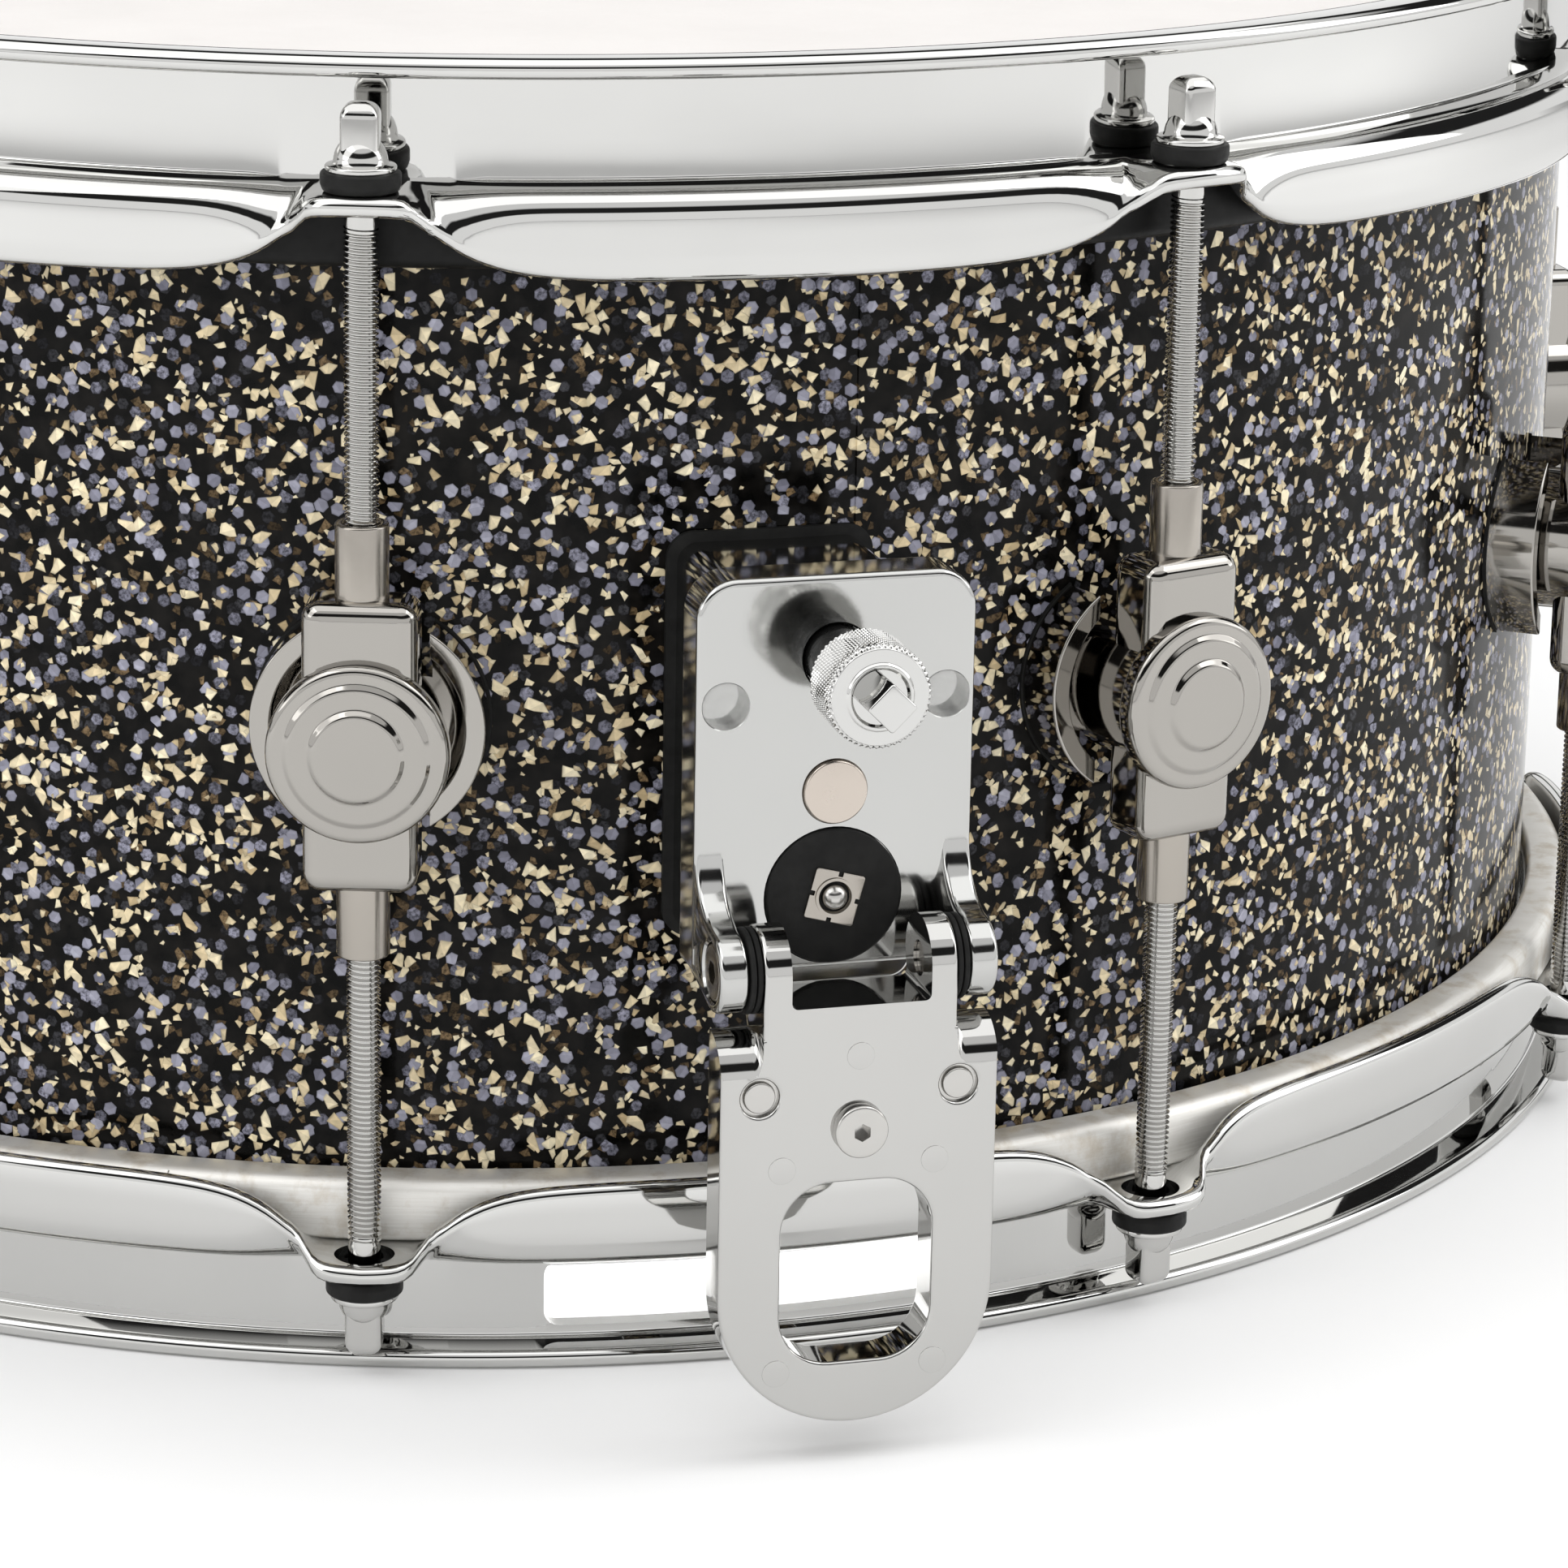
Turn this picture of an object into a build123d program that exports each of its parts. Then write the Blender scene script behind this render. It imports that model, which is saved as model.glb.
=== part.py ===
from build123d import *
import os
from math import sqrt

# Snare drum, 14 inch by 6.5 inch, ten lugs a side, with a hinged throw-off strainer.
#
# Frame: the origin is on the drum's axis, in the plane that the lower rim rests on.
# +Z runs up the axis. The throw-off is on the -Y side, and angles round the drum are
# counted from -Y towards +X. "out" is the distance from the axis along -Y, for the
# throw-off, or along +Y, for the butt plate. All sizes are millimetres.

# ---- driving dimensions -------------------------------------------------
DRUM_HEIGHT = 188.4          # lower rim to upper rim
MID = DRUM_HEIGHT / 2        # the shell and lugs are mirrored about this height
SHELL_HEIGHT = 165.1         # 6.5 inch
SHELL_THICK = 6.0
WRAP_RADIUS = 177.8          # 14 inch across the wrapped shell
WRAP_THICK = 0.5
LUG_COUNT = 10               # a side
FIRST_LUG_ANGLE = 18.0       # from -Y
ROD_CIRCLE = 190.5           # radius that the tension rods stand on
THREAD_RADIUS = 2.413        # 10-32 screw
THREAD_CLEARANCE = 0.06      # running fit of a rod in its receiver

SHELL_TOP = MID + SHELL_HEIGHT / 2
SHELL_OUTER = WRAP_RADIUS - WRAP_THICK
SHELL_INNER = SHELL_OUTER - SHELL_THICK
LUG_ANGLES = [FIRST_LUG_ANGLE + 360 / LUG_COUNT * i for i in range(LUG_COUNT)]

# rims and heads
HOOP_METAL = 2.8
HOOP_INNER = 179.6
HOOP_LIP = 188.5             # outer radius of the rolled lip
HOOP_SKIRT = 189.8           # outer radius of the skirt between the ears
BATTER_FLANGE_Z = 168.3      # underside of the flange that presses on the flesh hoop
SNARE_FLANGE_Z = 170.1       # the same on the snare side, counted with that side turned up
SKIRT_DEPTH = 10.0
EAR_REACH = 197.5
EAR_HALF_WIDTH = 7.5
EAR_HOLE = 4.2
GATE_HALF_WIDTH = 32.3       # opening for the snare straps
GATE_LOW, GATE_HIGH = 4.4, 14.3
FILM = 0.5                   # drumhead film with its coating
COLLAR_RADIUS = 179.0        # the film's collar inside the flesh hoop
FLESH_OUTER = 185.5
FLESH_DEPTH = 9.2

# tension rods, upper side; the lower side is mirrored
WASHER_RADIUS, WASHER_THICK = 5.5, 2.6
ROD_FLANGE_RADIUS, ROD_FLANGE_THICK = 5.0, 1.0
ROD_SQUARE = 5.7             # drum key size
ROD_HEAD = 9.3               # height of a rod above its washer
ROD_END = 112.0

# lugs
LUG_BASE_RADIUS, LUG_BASE_OUT = 16.5, 185.0
LUG_BASE_RIM = 3.1
LUG_BASE_FLOOR = 181.0
LUG_SPLIT = 8.75             # half width of the gap between a base's two crescents
LUG_POST_RADIUS = 11.0
LUG_BLOCK_HALF, LUG_BLOCK_HALF_HEIGHT = 8.0, 20.7
LUG_BLOCK_OUT = 196.0
LUG_FACE_RADIUS, LUG_FACE_OUT = 12.7, 200.0
RECEIVER_RADIUS, RECEIVER_HALF_HEIGHT = 3.75, 31.0
RECEIVER_DEPTH = 13.0        # how far a receiver is seated in its block
GASKET = 0.5
LUG_SCREW_RADIUS, LUG_SCREW_TIP = 2.5, 188.0

# throw-off
NECK_HALF, NECK_LOW, NECK_HIGH = 13.5, 62.45, 119.15
STRAINER_GASKET = 0.8
STRAINER_SCREW_Z, STRAINER_SCREW_TIP = (70.45, 112.45), 184.5
PLATE_HALF, PLATE_LOW, PLATE_HIGH = 19.6, 67.05, 122.45
PLATE_BACK, PLATE_FRONT = 204.0, 212.0
HINGE_OUT, HINGE_Z = 220.75, 70.45
HINGE_PIN_RADIUS = 2.4
OUTER_EAR = (15.4, 19.5)     # body ear, from and to, each side of the middle
HINGE_WASHER = (13.6, 15.4)
LEVER_EAR = (9.8, 13.6)
LEVER_FRONT, LEVER_BACK = 227.0, 220.0
LEVER_HALF, LEVER_LOW, LEVER_SHOULDER = 19.5, 5.95, 62.45
LEVER_GAP_Z = 66.45          # lower edge of the gap between the lever's ears
SHOULDER_ROUND = 6.5         # the shoulders curve back from the lever's front face
SLOT_HALF, SLOT_LOW, SLOT_HIGH, SLOT_CORNER = 10.75, 14.95, 41.15, 7.0
STRIKER_Z = 48.75
LEVER_PIN_X, LEVER_PIN_Z = (-14.0, 14.0), 54.15
KNOB_Z = 110.95
KNOB_SCREW_RADIUS, KNOB_SCREW_BACK = 3.0, 190.0
MAGNET_Z = 2 * HINGE_Z - STRIKER_Z   # the striker meets the magnet when the lever is shut
MAGNET_RADIUS, DISC_RADIUS, BUMPER_RADIUS = 4.3, 9.5, 3.25
DISC_Z = 77.35
BUMPER_X, BUMPER_Z = 15.5, 104.95
CAVITY_HALF, CAVITY_TOP = 8.0, 104.45
CAVITY_BACK, CAVITY_FRONT = 186.0, 200.0
SLIDE_GAP = 0.4              # clearance round the sliding pieces
CARRIAGE_LOW, CARRIAGE_HIGH = 64.45, 88.45
CLAMP_HALF, CLAMP_LOW, CLAMP_HIGH = 5.0, 66.95, 78.95
CLAMP_TRAVEL = 1.0
CLAMP_SCREW_X, CLAMP_SCREW_Z = (-2.6, 2.6), 74.45

# butt plate
BUTT_HALF, BUTT_LOW, BUTT_HIGH, BUTT_OUT = 21.0, 32.0, 64.0, 193.0
BUTT_STEP_Z = 49.0
BUTT_CLAMP_OUT, BUTT_CLAMP_FRONT = 189.0, 193.3
BUTT_SCREW_X, BUTT_SCREW_Z = (-14.0, 14.0), 56.0
BUTT_CLAMP_X, BUTT_CLAMP_Z = (-12.0, 12.0), 41.0

VENT_ANGLE = 108.0
VENT_RADIUS = 5.0


# ---- shapes used throughout ---------------------------------------------
def ring(inner, outer, low, high):
    """A flat ring about the drum's axis."""
    section = Polygon((inner, low), (outer, low), (outer, high), (inner, high), align=None)
    return revolve(Plane.XZ * section, axis=Axis.Z)


def turned(points):
    """A closed outline of (radius, height) points turned about the drum's axis."""
    return revolve(Plane.XZ * Polygon(*points, align=None), axis=Axis.Z)


def at_angle(shape, angle):
    return Rot(0, 0, angle) * shape


def all_round(shape):
    """One copy of a piece made at the front for each lug position."""
    return [at_angle(shape, angle) for angle in LUG_ANGLES]


def front_box(x_range, out_range, z_range):
    (x0, x1), (o0, o1), (z0, z1) = x_range, out_range, z_range
    return Pos((x0 + x1) / 2, -(o0 + o1) / 2, (z0 + z1) / 2) * Box(x1 - x0, o1 - o0, z1 - z0)


def front_rod(radius, out_range, x=0.0, z=0.0):
    """A cylinder that points straight out of the drum at the front."""
    low, high = out_range
    return Pos(x, -(low + high) / 2, z) * Rot(90, 0, 0) * Cylinder(radius, high - low)


def front_prism(corners, out_range):
    """A closed outline of (x, z) corners, given thickness along the out direction."""
    low, high = out_range
    outline = Plane.XZ.offset(low) * Polygon(*corners, align=None)
    return extrude(outline, high - low)


def side_rod(radius, x_range, out, z):
    low, high = x_range
    return Pos((low + high) / 2, -out, z) * Rot(0, 90, 0) * Cylinder(radius, high - low)


def side_prism(corners, x_range):
    """A closed outline of (out, z) corners, given thickness along X."""
    low, high = x_range
    flat = Polygon(*[(-out, z) for out, z in corners], align=None)
    return extrude(Plane.YZ.offset(low) * flat, high - low)


def upright(radius, low, high, x=0.0, out=ROD_CIRCLE):
    return Pos(x, -out, (low + high) / 2) * Cylinder(radius, high - low)


def both_sides(make, x_range):
    """The same piece made for each side of the middle plane."""
    low, high = x_range
    return [make((low, high)), make((-high, -low))]


def mirrored(shape):
    """The matching piece of the snare side."""
    return mirror(shape, about=Plane.XY.offset(MID))


def to_back(shape):
    """A piece made at the front, moved to the side opposite the throw-off."""
    return Rot(0, 0, 180) * shape


def rounded(shape, axis, radius):
    """Fillets every straight edge that runs along one axis."""
    return fillet(shape.edges().filter_by(axis), radius)


# ---- shell --------------------------------------------------------------
def screw_holes(radius):
    """Radial holes through the shell for every fastener that crosses it."""
    depth = (SHELL_INNER - 10, WRAP_RADIUS + 5)
    holes = all_round(front_rod(radius, depth, z=MID))
    holes += [front_rod(radius, depth, z=z) for z in STRAINER_SCREW_Z]
    holes += [to_back(front_rod(radius, depth, x, BUTT_SCREW_Z)) for x in BUTT_SCREW_X]
    holes.append(at_angle(front_rod(VENT_RADIUS + 1, depth, z=MID), VENT_ANGLE))
    return holes


def make_shell():
    edge = 1.5                # outer roundover of the bearing edge
    cut = 4.0                 # inner 45 degree cut
    low, high = DRUM_HEIGHT - SHELL_TOP, SHELL_TOP
    shell = turned([
        (SHELL_INNER, low + cut), (SHELL_INNER + cut, low), (SHELL_OUTER - edge, low),
        (SHELL_OUTER, low + edge), (SHELL_OUTER, high - edge), (SHELL_OUTER - edge, high),
        (SHELL_INNER + cut, high), (SHELL_INNER, high - cut)])
    return shell - screw_holes(LUG_SCREW_RADIUS + 0.1)


def make_wrap():
    margin = 2.0
    wrap = ring(SHELL_OUTER, WRAP_RADIUS, DRUM_HEIGHT - SHELL_TOP + margin, SHELL_TOP - margin)
    return wrap - screw_holes(LUG_SCREW_RADIUS + 0.1)


def make_reinforcement_rings():
    thick, height, bevel = 3.0, 19.0, 2.5
    top = SHELL_TOP - 4.0
    inner = SHELL_INNER - thick
    upper = turned([
        (inner, top - height), (SHELL_INNER, top - height), (SHELL_INNER, top),
        (SHELL_INNER - 0.5, top), (inner, top - bevel)])
    return [upper, mirrored(upper)]


def make_vent_eyelet():
    span = (SHELL_INNER - 1.5, WRAP_RADIUS + 1.2)
    tube = front_rod(VENT_RADIUS + 0.9, span, z=MID)
    flange_out = front_rod(9.0, (WRAP_RADIUS - 0.35, WRAP_RADIUS + 1.2), z=MID)
    flange_out -= ring(0, WRAP_RADIUS, MID - 20, MID + 20)
    flange_in = front_rod(8.0, (SHELL_INNER - 1.5, SHELL_INNER), z=MID)
    flange_in = flange_in & ring(0, SHELL_INNER, MID - 20, MID + 20)
    eyelet = tube + flange_out + flange_in - front_rod(VENT_RADIUS, (span[0] - 5, span[1] + 5), z=MID)
    return at_angle(eyelet, VENT_ANGLE)


# ---- heads and rims -----------------------------------------------------
def make_head(flange):
    """Film stretched over the bearing edge and turned down into its flesh hoop."""
    bend = 2.0
    top = SHELL_TOP + FILM
    return turned([
        (0, SHELL_TOP), (COLLAR_RADIUS - FILM - bend, SHELL_TOP),
        (COLLAR_RADIUS - FILM, SHELL_TOP - bend), (COLLAR_RADIUS - FILM, flange - 6),
        (COLLAR_RADIUS, flange - 6), (COLLAR_RADIUS, SHELL_TOP - bend + 0.2),
        (COLLAR_RADIUS - bend - 0.3, top), (0, top)])


def make_flesh_hoop(flange):
    return ring(COLLAR_RADIUS, FLESH_OUTER, flange - FLESH_DEPTH, flange)


def ear_cut(flange):
    """Where the skirt is turned up into a flat ear: narrow above, wide below."""
    low = flange - SKIRT_DEPTH - 1
    slope = [(-8, flange), (-11, flange - 3), (-21, low), (21, low), (11, flange - 3), (8, flange)]
    return front_prism(slope, (HOOP_SKIRT - HOOP_METAL - 1.5, HOOP_SKIRT + 3))


def ear(flange):
    top = flange + HOOP_METAL
    plate = front_box((-EAR_HALF_WIDTH, EAR_HALF_WIDTH), (HOOP_INNER + 1, EAR_REACH), (flange, top))
    tip = plate.edges().filter_by(Axis.Z).group_by(Axis.Y)[0]
    return fillet(tip, 4.0)


def make_hoop(flange):
    """Triple-flange rim: a rolled lip, an upright wall and a scalloped skirt with ears."""
    wall = HOOP_INNER + HOOP_METAL
    skirt_inner = HOOP_SKIRT - HOOP_METAL
    lip = DRUM_HEIGHT - HOOP_METAL
    shoulder = flange + HOOP_METAL
    low = flange - SKIRT_DEPTH
    hoop = turned([
        (HOOP_INNER, flange), (skirt_inner, flange), (skirt_inner, low), (HOOP_SKIRT, low),
        (HOOP_SKIRT, shoulder - 1), (HOOP_SKIRT - 1, shoulder), (wall, shoulder), (wall, lip - 1),
        (wall + 1, lip), (HOOP_LIP, lip), (HOOP_LIP, DRUM_HEIGHT), (HOOP_INNER + 1.5, DRUM_HEIGHT),
        (HOOP_INNER, DRUM_HEIGHT - 1.5)])
    hoop -= all_round(ear_cut(flange))
    hoop += all_round(ear(flange))
    return hoop - all_round(upright(EAR_HOLE, flange - 5, flange + 8))


def make_snare_hoop():
    """The lower rim has a gate at the throw-off and another at the butt plate."""
    gate = front_box((-GATE_HALF_WIDTH, GATE_HALF_WIDTH), (170, 186), (GATE_LOW, GATE_HIGH))
    gate = rounded(gate, Axis.Y, 2.0)
    return mirrored(make_hoop(SNARE_FLANGE_Z)) - [gate, to_back(gate)]


# ---- tension rods -------------------------------------------------------
def make_rod(flange):
    seat = flange + HOOP_METAL + WASHER_THICK
    rod_top = seat + ROD_HEAD
    collar_top = seat + ROD_FLANGE_THICK
    skirt_top = collar_top + 3.6
    shank = upright(THREAD_RADIUS, ROD_END, seat)
    disc = upright(ROD_FLANGE_RADIUS, seat, collar_top)
    skirt = Pos(0, -ROD_CIRCLE, (collar_top + skirt_top) / 2) * Cone(4.6, 3.0, skirt_top - collar_top)
    height = rod_top - collar_top
    square = Pos(0, -ROD_CIRCLE, collar_top + height / 2) * Box(ROD_SQUARE, ROD_SQUARE, height)
    square = fillet(square.edges().filter_by(Axis.Z), 0.9)
    square = chamfer(square.faces().sort_by(Axis.Z)[-1].edges(), 0.7)
    return shank + disc + skirt + square


def make_rod_washers(flange):
    low = flange + HOOP_METAL
    washer = upright(WASHER_RADIUS, low, low + WASHER_THICK)
    return all_round(washer - upright(THREAD_RADIUS + 0.35, low - 1, low + WASHER_THICK + 1))


# ---- lugs ---------------------------------------------------------------
def lug_base(outer, inner_limit):
    """A disc on the shell, split down the middle, round the post."""
    disc = front_rod(outer, (SHELL_INNER, LUG_BASE_OUT), z=MID)
    disc -= front_box((-LUG_SPLIT, LUG_SPLIT), (SHELL_INNER - 1, LUG_BASE_OUT + 1), (MID - 30, MID + 30))
    return disc - ring(0, inner_limit, MID - 40, MID + 40)


def make_lugs():
    seat = WRAP_RADIUS + GASKET
    base = lug_base(LUG_BASE_RADIUS, seat)
    base -= front_rod(LUG_BASE_RADIUS - LUG_BASE_RIM, (LUG_BASE_FLOOR, LUG_BASE_OUT + 1), z=MID)
    post = front_rod(LUG_POST_RADIUS, (SHELL_INNER, LUG_FACE_OUT - 3), z=MID)
    post -= ring(0, seat, MID - 40, MID + 40)
    low, high = MID - LUG_BLOCK_HALF_HEIGHT, MID + LUG_BLOCK_HALF_HEIGHT
    block_back = ROD_CIRCLE - RECEIVER_RADIUS - 1.2
    block = front_box((-LUG_BLOCK_HALF, LUG_BLOCK_HALF), (block_back, LUG_BLOCK_OUT), (low, high))
    block = rounded(block, Axis.Z, 2.6)
    face = front_rod(LUG_FACE_RADIUS, (LUG_BLOCK_OUT - 2, LUG_FACE_OUT - 0.8), z=MID)
    face += front_rod(10.05, (LUG_FACE_OUT - 1, LUG_FACE_OUT - 0.4), z=MID)
    face += front_rod(6.25, (LUG_FACE_OUT - 1, LUG_FACE_OUT), z=MID)
    lug = base + post + block + face
    for sign in (-1, 1):
        inner = MID + sign * (LUG_BLOCK_HALF_HEIGHT - RECEIVER_DEPTH)
        outer = MID + sign * (LUG_BLOCK_HALF_HEIGHT + 1)
        lug -= upright(RECEIVER_RADIUS, min(inner, outer), max(inner, outer))
    lug -= front_rod(LUG_SCREW_RADIUS, (SHELL_INNER, LUG_SCREW_TIP), z=MID)
    return all_round(lug)


def make_receivers():
    low = MID + LUG_BLOCK_HALF_HEIGHT - RECEIVER_DEPTH
    high = MID + RECEIVER_HALF_HEIGHT
    bore = upright(THREAD_RADIUS + THREAD_CLEARANCE, low - 1, high + 1)
    upper = upright(RECEIVER_RADIUS, low, high) - bore
    upper = chamfer(upper.edges().group_by(Axis.Z)[-1], 0.3)
    return all_round(upper) + all_round(mirrored(upper))


def make_lug_gaskets():
    seat = WRAP_RADIUS + GASKET
    limit = ring(WRAP_RADIUS, seat, MID - 40, MID + 40)
    pad = lug_base(LUG_BASE_RADIUS + 0.3, WRAP_RADIUS)
    pad += front_rod(LUG_POST_RADIUS, (SHELL_INNER, 182), z=MID)
    pad = pad & limit
    return all_round(pad - front_rod(LUG_SCREW_RADIUS + 0.1, (160, 200), z=MID))


def mounting_screw(tip_out, x, z, head_radius=5.5):
    """A pan-head screw put in from inside the shell, with its flat washer."""
    washer_radius = head_radius + 2
    seat = sqrt(SHELL_INNER ** 2 - (abs(x) + washer_radius) ** 2) - 0.02
    head = front_rod(head_radius, (seat - 4.0, seat - 1.0), x, z)
    head = chamfer(head.edges().group_by(Axis.Y)[-1], 0.9)
    washer = front_rod(washer_radius, (seat - 1.0, seat), x, z)
    shank = front_rod(LUG_SCREW_RADIUS, (seat - 2, tip_out), x, z)
    cross_depth = (seat - 5, seat - 2.8)
    recess = front_box((x - 2.6, x + 2.6), cross_depth, (z - 0.6, z + 0.6))
    recess += front_box((x - 0.6, x + 0.6), cross_depth, (z - 2.6, z + 2.6))
    return head + washer + shank - recess


def make_lug_screws():
    return all_round(mounting_screw(LUG_SCREW_TIP, 0, MID))


# ---- throw-off: fixed pieces --------------------------------------------
def make_strainer_gasket():
    pad = front_box((-NECK_HALF - 1.5, NECK_HALF + 1.5), (170, 182), (NECK_LOW - 1, NECK_HIGH + 1.5))
    pad = rounded(pad, Axis.Y, 4.0)
    pad = pad & ring(WRAP_RADIUS, WRAP_RADIUS + STRAINER_GASKET, NECK_LOW - 10, NECK_HIGH + 10)
    return pad - [front_rod(LUG_SCREW_RADIUS + 0.1, (160, 200), z=z) for z in STRAINER_SCREW_Z]


def knob_bore(back):
    return front_rod(KNOB_SCREW_RADIUS + 0.05, (back, PLATE_FRONT + 1), z=KNOB_Z)


def make_strainer_neck():
    """Hollow neck that carries the throw-off and guides the snare carriage."""
    neck = front_box((-NECK_HALF, NECK_HALF), (170, PLATE_BACK), (NECK_LOW, NECK_HIGH))
    neck = rounded(neck, Axis.Y, 3.0)
    neck -= ring(0, WRAP_RADIUS + STRAINER_GASKET, NECK_LOW - 10, NECK_HIGH + 10)
    neck -= front_box((-CAVITY_HALF, CAVITY_HALF), (CAVITY_BACK, CAVITY_FRONT), (NECK_LOW - 1, CAVITY_TOP))
    neck -= [front_rod(LUG_SCREW_RADIUS, (160, STRAINER_SCREW_TIP), z=z) for z in STRAINER_SCREW_Z]
    return neck - knob_bore(KNOB_SCREW_BACK - 1)


def make_mounting_screws():
    """The screws of the throw-off and of the butt plate, all one size."""
    front = [mounting_screw(STRAINER_SCREW_TIP, 0, z, 4.5) for z in STRAINER_SCREW_Z]
    back = [mounting_screw(STRAINER_SCREW_TIP, x, BUTT_SCREW_Z, 4.5) for x in BUTT_SCREW_X]
    return front + [to_back(screw) for screw in back]


def hinge_arm(x_range):
    """Cheek that carries a hinge ear forward of the plate."""
    corners = [
        (PLATE_BACK, PLATE_LOW), (PLATE_BACK, HINGE_Z + 13), (PLATE_FRONT, HINGE_Z + 13),
        (212.8, HINGE_Z + 9.5), (214.6, HINGE_Z + 6.8), (217.6, HINGE_Z + 4.5),
        (HINGE_OUT, HINGE_Z - 5.5), (211, HINGE_Z - 4.5)]
    cheek = side_prism(corners, x_range) + side_rod(5.5, x_range, HINGE_OUT, HINGE_Z)
    return cheek - side_rod(HINGE_PIN_RADIUS, (x_range[0] - 1, x_range[1] + 1), HINGE_OUT, HINGE_Z)


def make_strainer_body():
    plate = front_box((-PLATE_HALF, PLATE_HALF), (PLATE_BACK, PLATE_FRONT), (PLATE_LOW, PLATE_HIGH))
    top_corners = plate.edges().filter_by(Axis.Y).group_by(Axis.Z)[-1]
    plate = fillet(top_corners, 5.5)
    body = plate + both_sides(hinge_arm, OUTER_EAR)
    body -= both_sides(lambda x_range: side_rod(4.0, x_range, HINGE_OUT, HINGE_Z), (17.0, 21.0))
    mouth, pocket = PLATE_FRONT + 1, PLATE_FRONT - 3
    body -= front_rod(MAGNET_RADIUS, (pocket, mouth), z=MAGNET_Z)
    body -= front_rod(DISC_RADIUS, (PLATE_FRONT - 1.2, mouth), z=DISC_Z)
    body -= [front_rod(BUMPER_RADIUS, (pocket, mouth), x, BUMPER_Z) for x in (-BUMPER_X, BUMPER_X)]
    return body - knob_bore(PLATE_BACK - 1)


def make_hinge_washers():
    """One washer a side, which nearly fills the gap between the lever's ear and the body's."""
    low, high = HINGE_WASHER[0] + 0.05, HINGE_WASHER[1] - 0.05

    def washer(x_range):
        bore = side_rod(HINGE_PIN_RADIUS + 0.05, (x_range[0] - 1, x_range[1] + 1), HINGE_OUT, HINGE_Z)
        return side_rod(6.0, x_range, HINGE_OUT, HINGE_Z) - bore
    return both_sides(washer, (low, high))


def make_hinge_screws():
    """Socket screws on which the lever turns, one a side, with nothing between them."""
    head_inner, hex_floor, head_outer = 17.0, 17.6, 19.3
    pin = side_rod(HINGE_PIN_RADIUS, (LEVER_EAR[0] + 0.4, head_inner), HINGE_OUT, HINGE_Z)
    head = side_rod(4.0, (head_inner, head_outer), HINGE_OUT, HINGE_Z)
    hexagon = Plane.YZ.offset(hex_floor) * Pos(-HINGE_OUT, HINGE_Z) * RegularPolygon(1.7, 6)
    screw = pin + head - extrude(hexagon, 4)
    return [screw, mirror(screw, about=Plane.YZ)]


def make_magnet():
    return front_rod(MAGNET_RADIUS, (PLATE_FRONT - 3, PLATE_FRONT + 0.5), z=MAGNET_Z)


def make_bumpers():
    depth = (PLATE_FRONT - 3, PLATE_FRONT + 1.6)
    pads = [front_rod(BUMPER_RADIUS, depth, x, BUMPER_Z) for x in (-BUMPER_X, BUMPER_X)]
    return [chamfer(pad.edges().group_by(Axis.Y)[0], 0.6) for pad in pads]


def make_guide_disc():
    return front_rod(DISC_RADIUS, (PLATE_FRONT - 1.2, PLATE_FRONT + 0.6), z=DISC_Z) - guide_stud_shape()


def guide_stud_shape():
    return front_rod(1.75, (PLATE_FRONT - 1.2, PLATE_FRONT + 1.2), z=DISC_Z)


def make_push_nut():
    """Square spring clip that holds the stud, turned a little in its seat."""
    half = 3.8
    clip = front_box((-half, half), (PLATE_FRONT + 0.6, PLATE_FRONT + 1.1), (-half, half))
    return Pos(0, 0, DISC_Z) * Rot(0, 15, 0) * clip - guide_stud_shape()


def make_guide_stud():
    dome = Pos(0, -(PLATE_FRONT + 0.2), DISC_Z) * Sphere(1.75)
    cap = dome & front_box((-3, 3), (PLATE_FRONT, PLATE_FRONT + 3), (DISC_Z - 3, DISC_Z + 3))
    return guide_stud_shape() + cap


# ---- throw-off: moving pieces -------------------------------------------
def make_lever():
    """Paddle that hangs from two ears; its lower end is round and holds a finger slot."""
    round_low = LEVER_LOW + LEVER_HALF
    thickness = (LEVER_BACK, LEVER_FRONT)
    paddle = front_box((-LEVER_HALF, LEVER_HALF), thickness, (round_low, LEVER_SHOULDER))
    paddle += front_rod(LEVER_HALF, thickness, z=round_low)
    shoulder = paddle.edges().filter_by(Axis.X).group_by(Axis.Z)[-1].sort_by(Axis.Y)[0]
    paddle = fillet(shoulder, SHOULDER_ROUND)
    neck = front_box((-LEVER_EAR[1], LEVER_EAR[1]), thickness, (LEVER_SHOULDER - 6, LEVER_GAP_Z))
    ear_radius = LEVER_FRONT - HINGE_OUT

    def lever_ear(x_range):
        foot = front_box(x_range, (HINGE_OUT - 3, LEVER_FRONT), (LEVER_SHOULDER - 4, HINGE_Z))
        return foot + side_rod(ear_radius, x_range, HINGE_OUT, HINGE_Z)

    lever = paddle + neck + both_sides(lever_ear, LEVER_EAR)
    slot_span = (LEVER_BACK - 1, LEVER_FRONT + 1)
    slot = front_box((-SLOT_HALF, SLOT_HALF), slot_span, (SLOT_LOW, SLOT_HIGH))
    lever -= rounded(slot, Axis.Y, SLOT_CORNER)
    lever -= side_rod(HINGE_PIN_RADIUS + 0.05, (-20, 20), HINGE_OUT, HINGE_Z)
    lever -= front_rod(2.5, (LEVER_BACK - 1, LEVER_FRONT + 1), z=STRIKER_Z)
    lever -= [front_rod(2.6, (LEVER_FRONT - 0.8, LEVER_FRONT + 1), x, LEVER_PIN_Z) for x in LEVER_PIN_X]
    return lever - [front_rod(2.1, (LEVER_BACK + 1, LEVER_FRONT), x, LEVER_PIN_Z) for x in LEVER_PIN_X]


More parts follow.
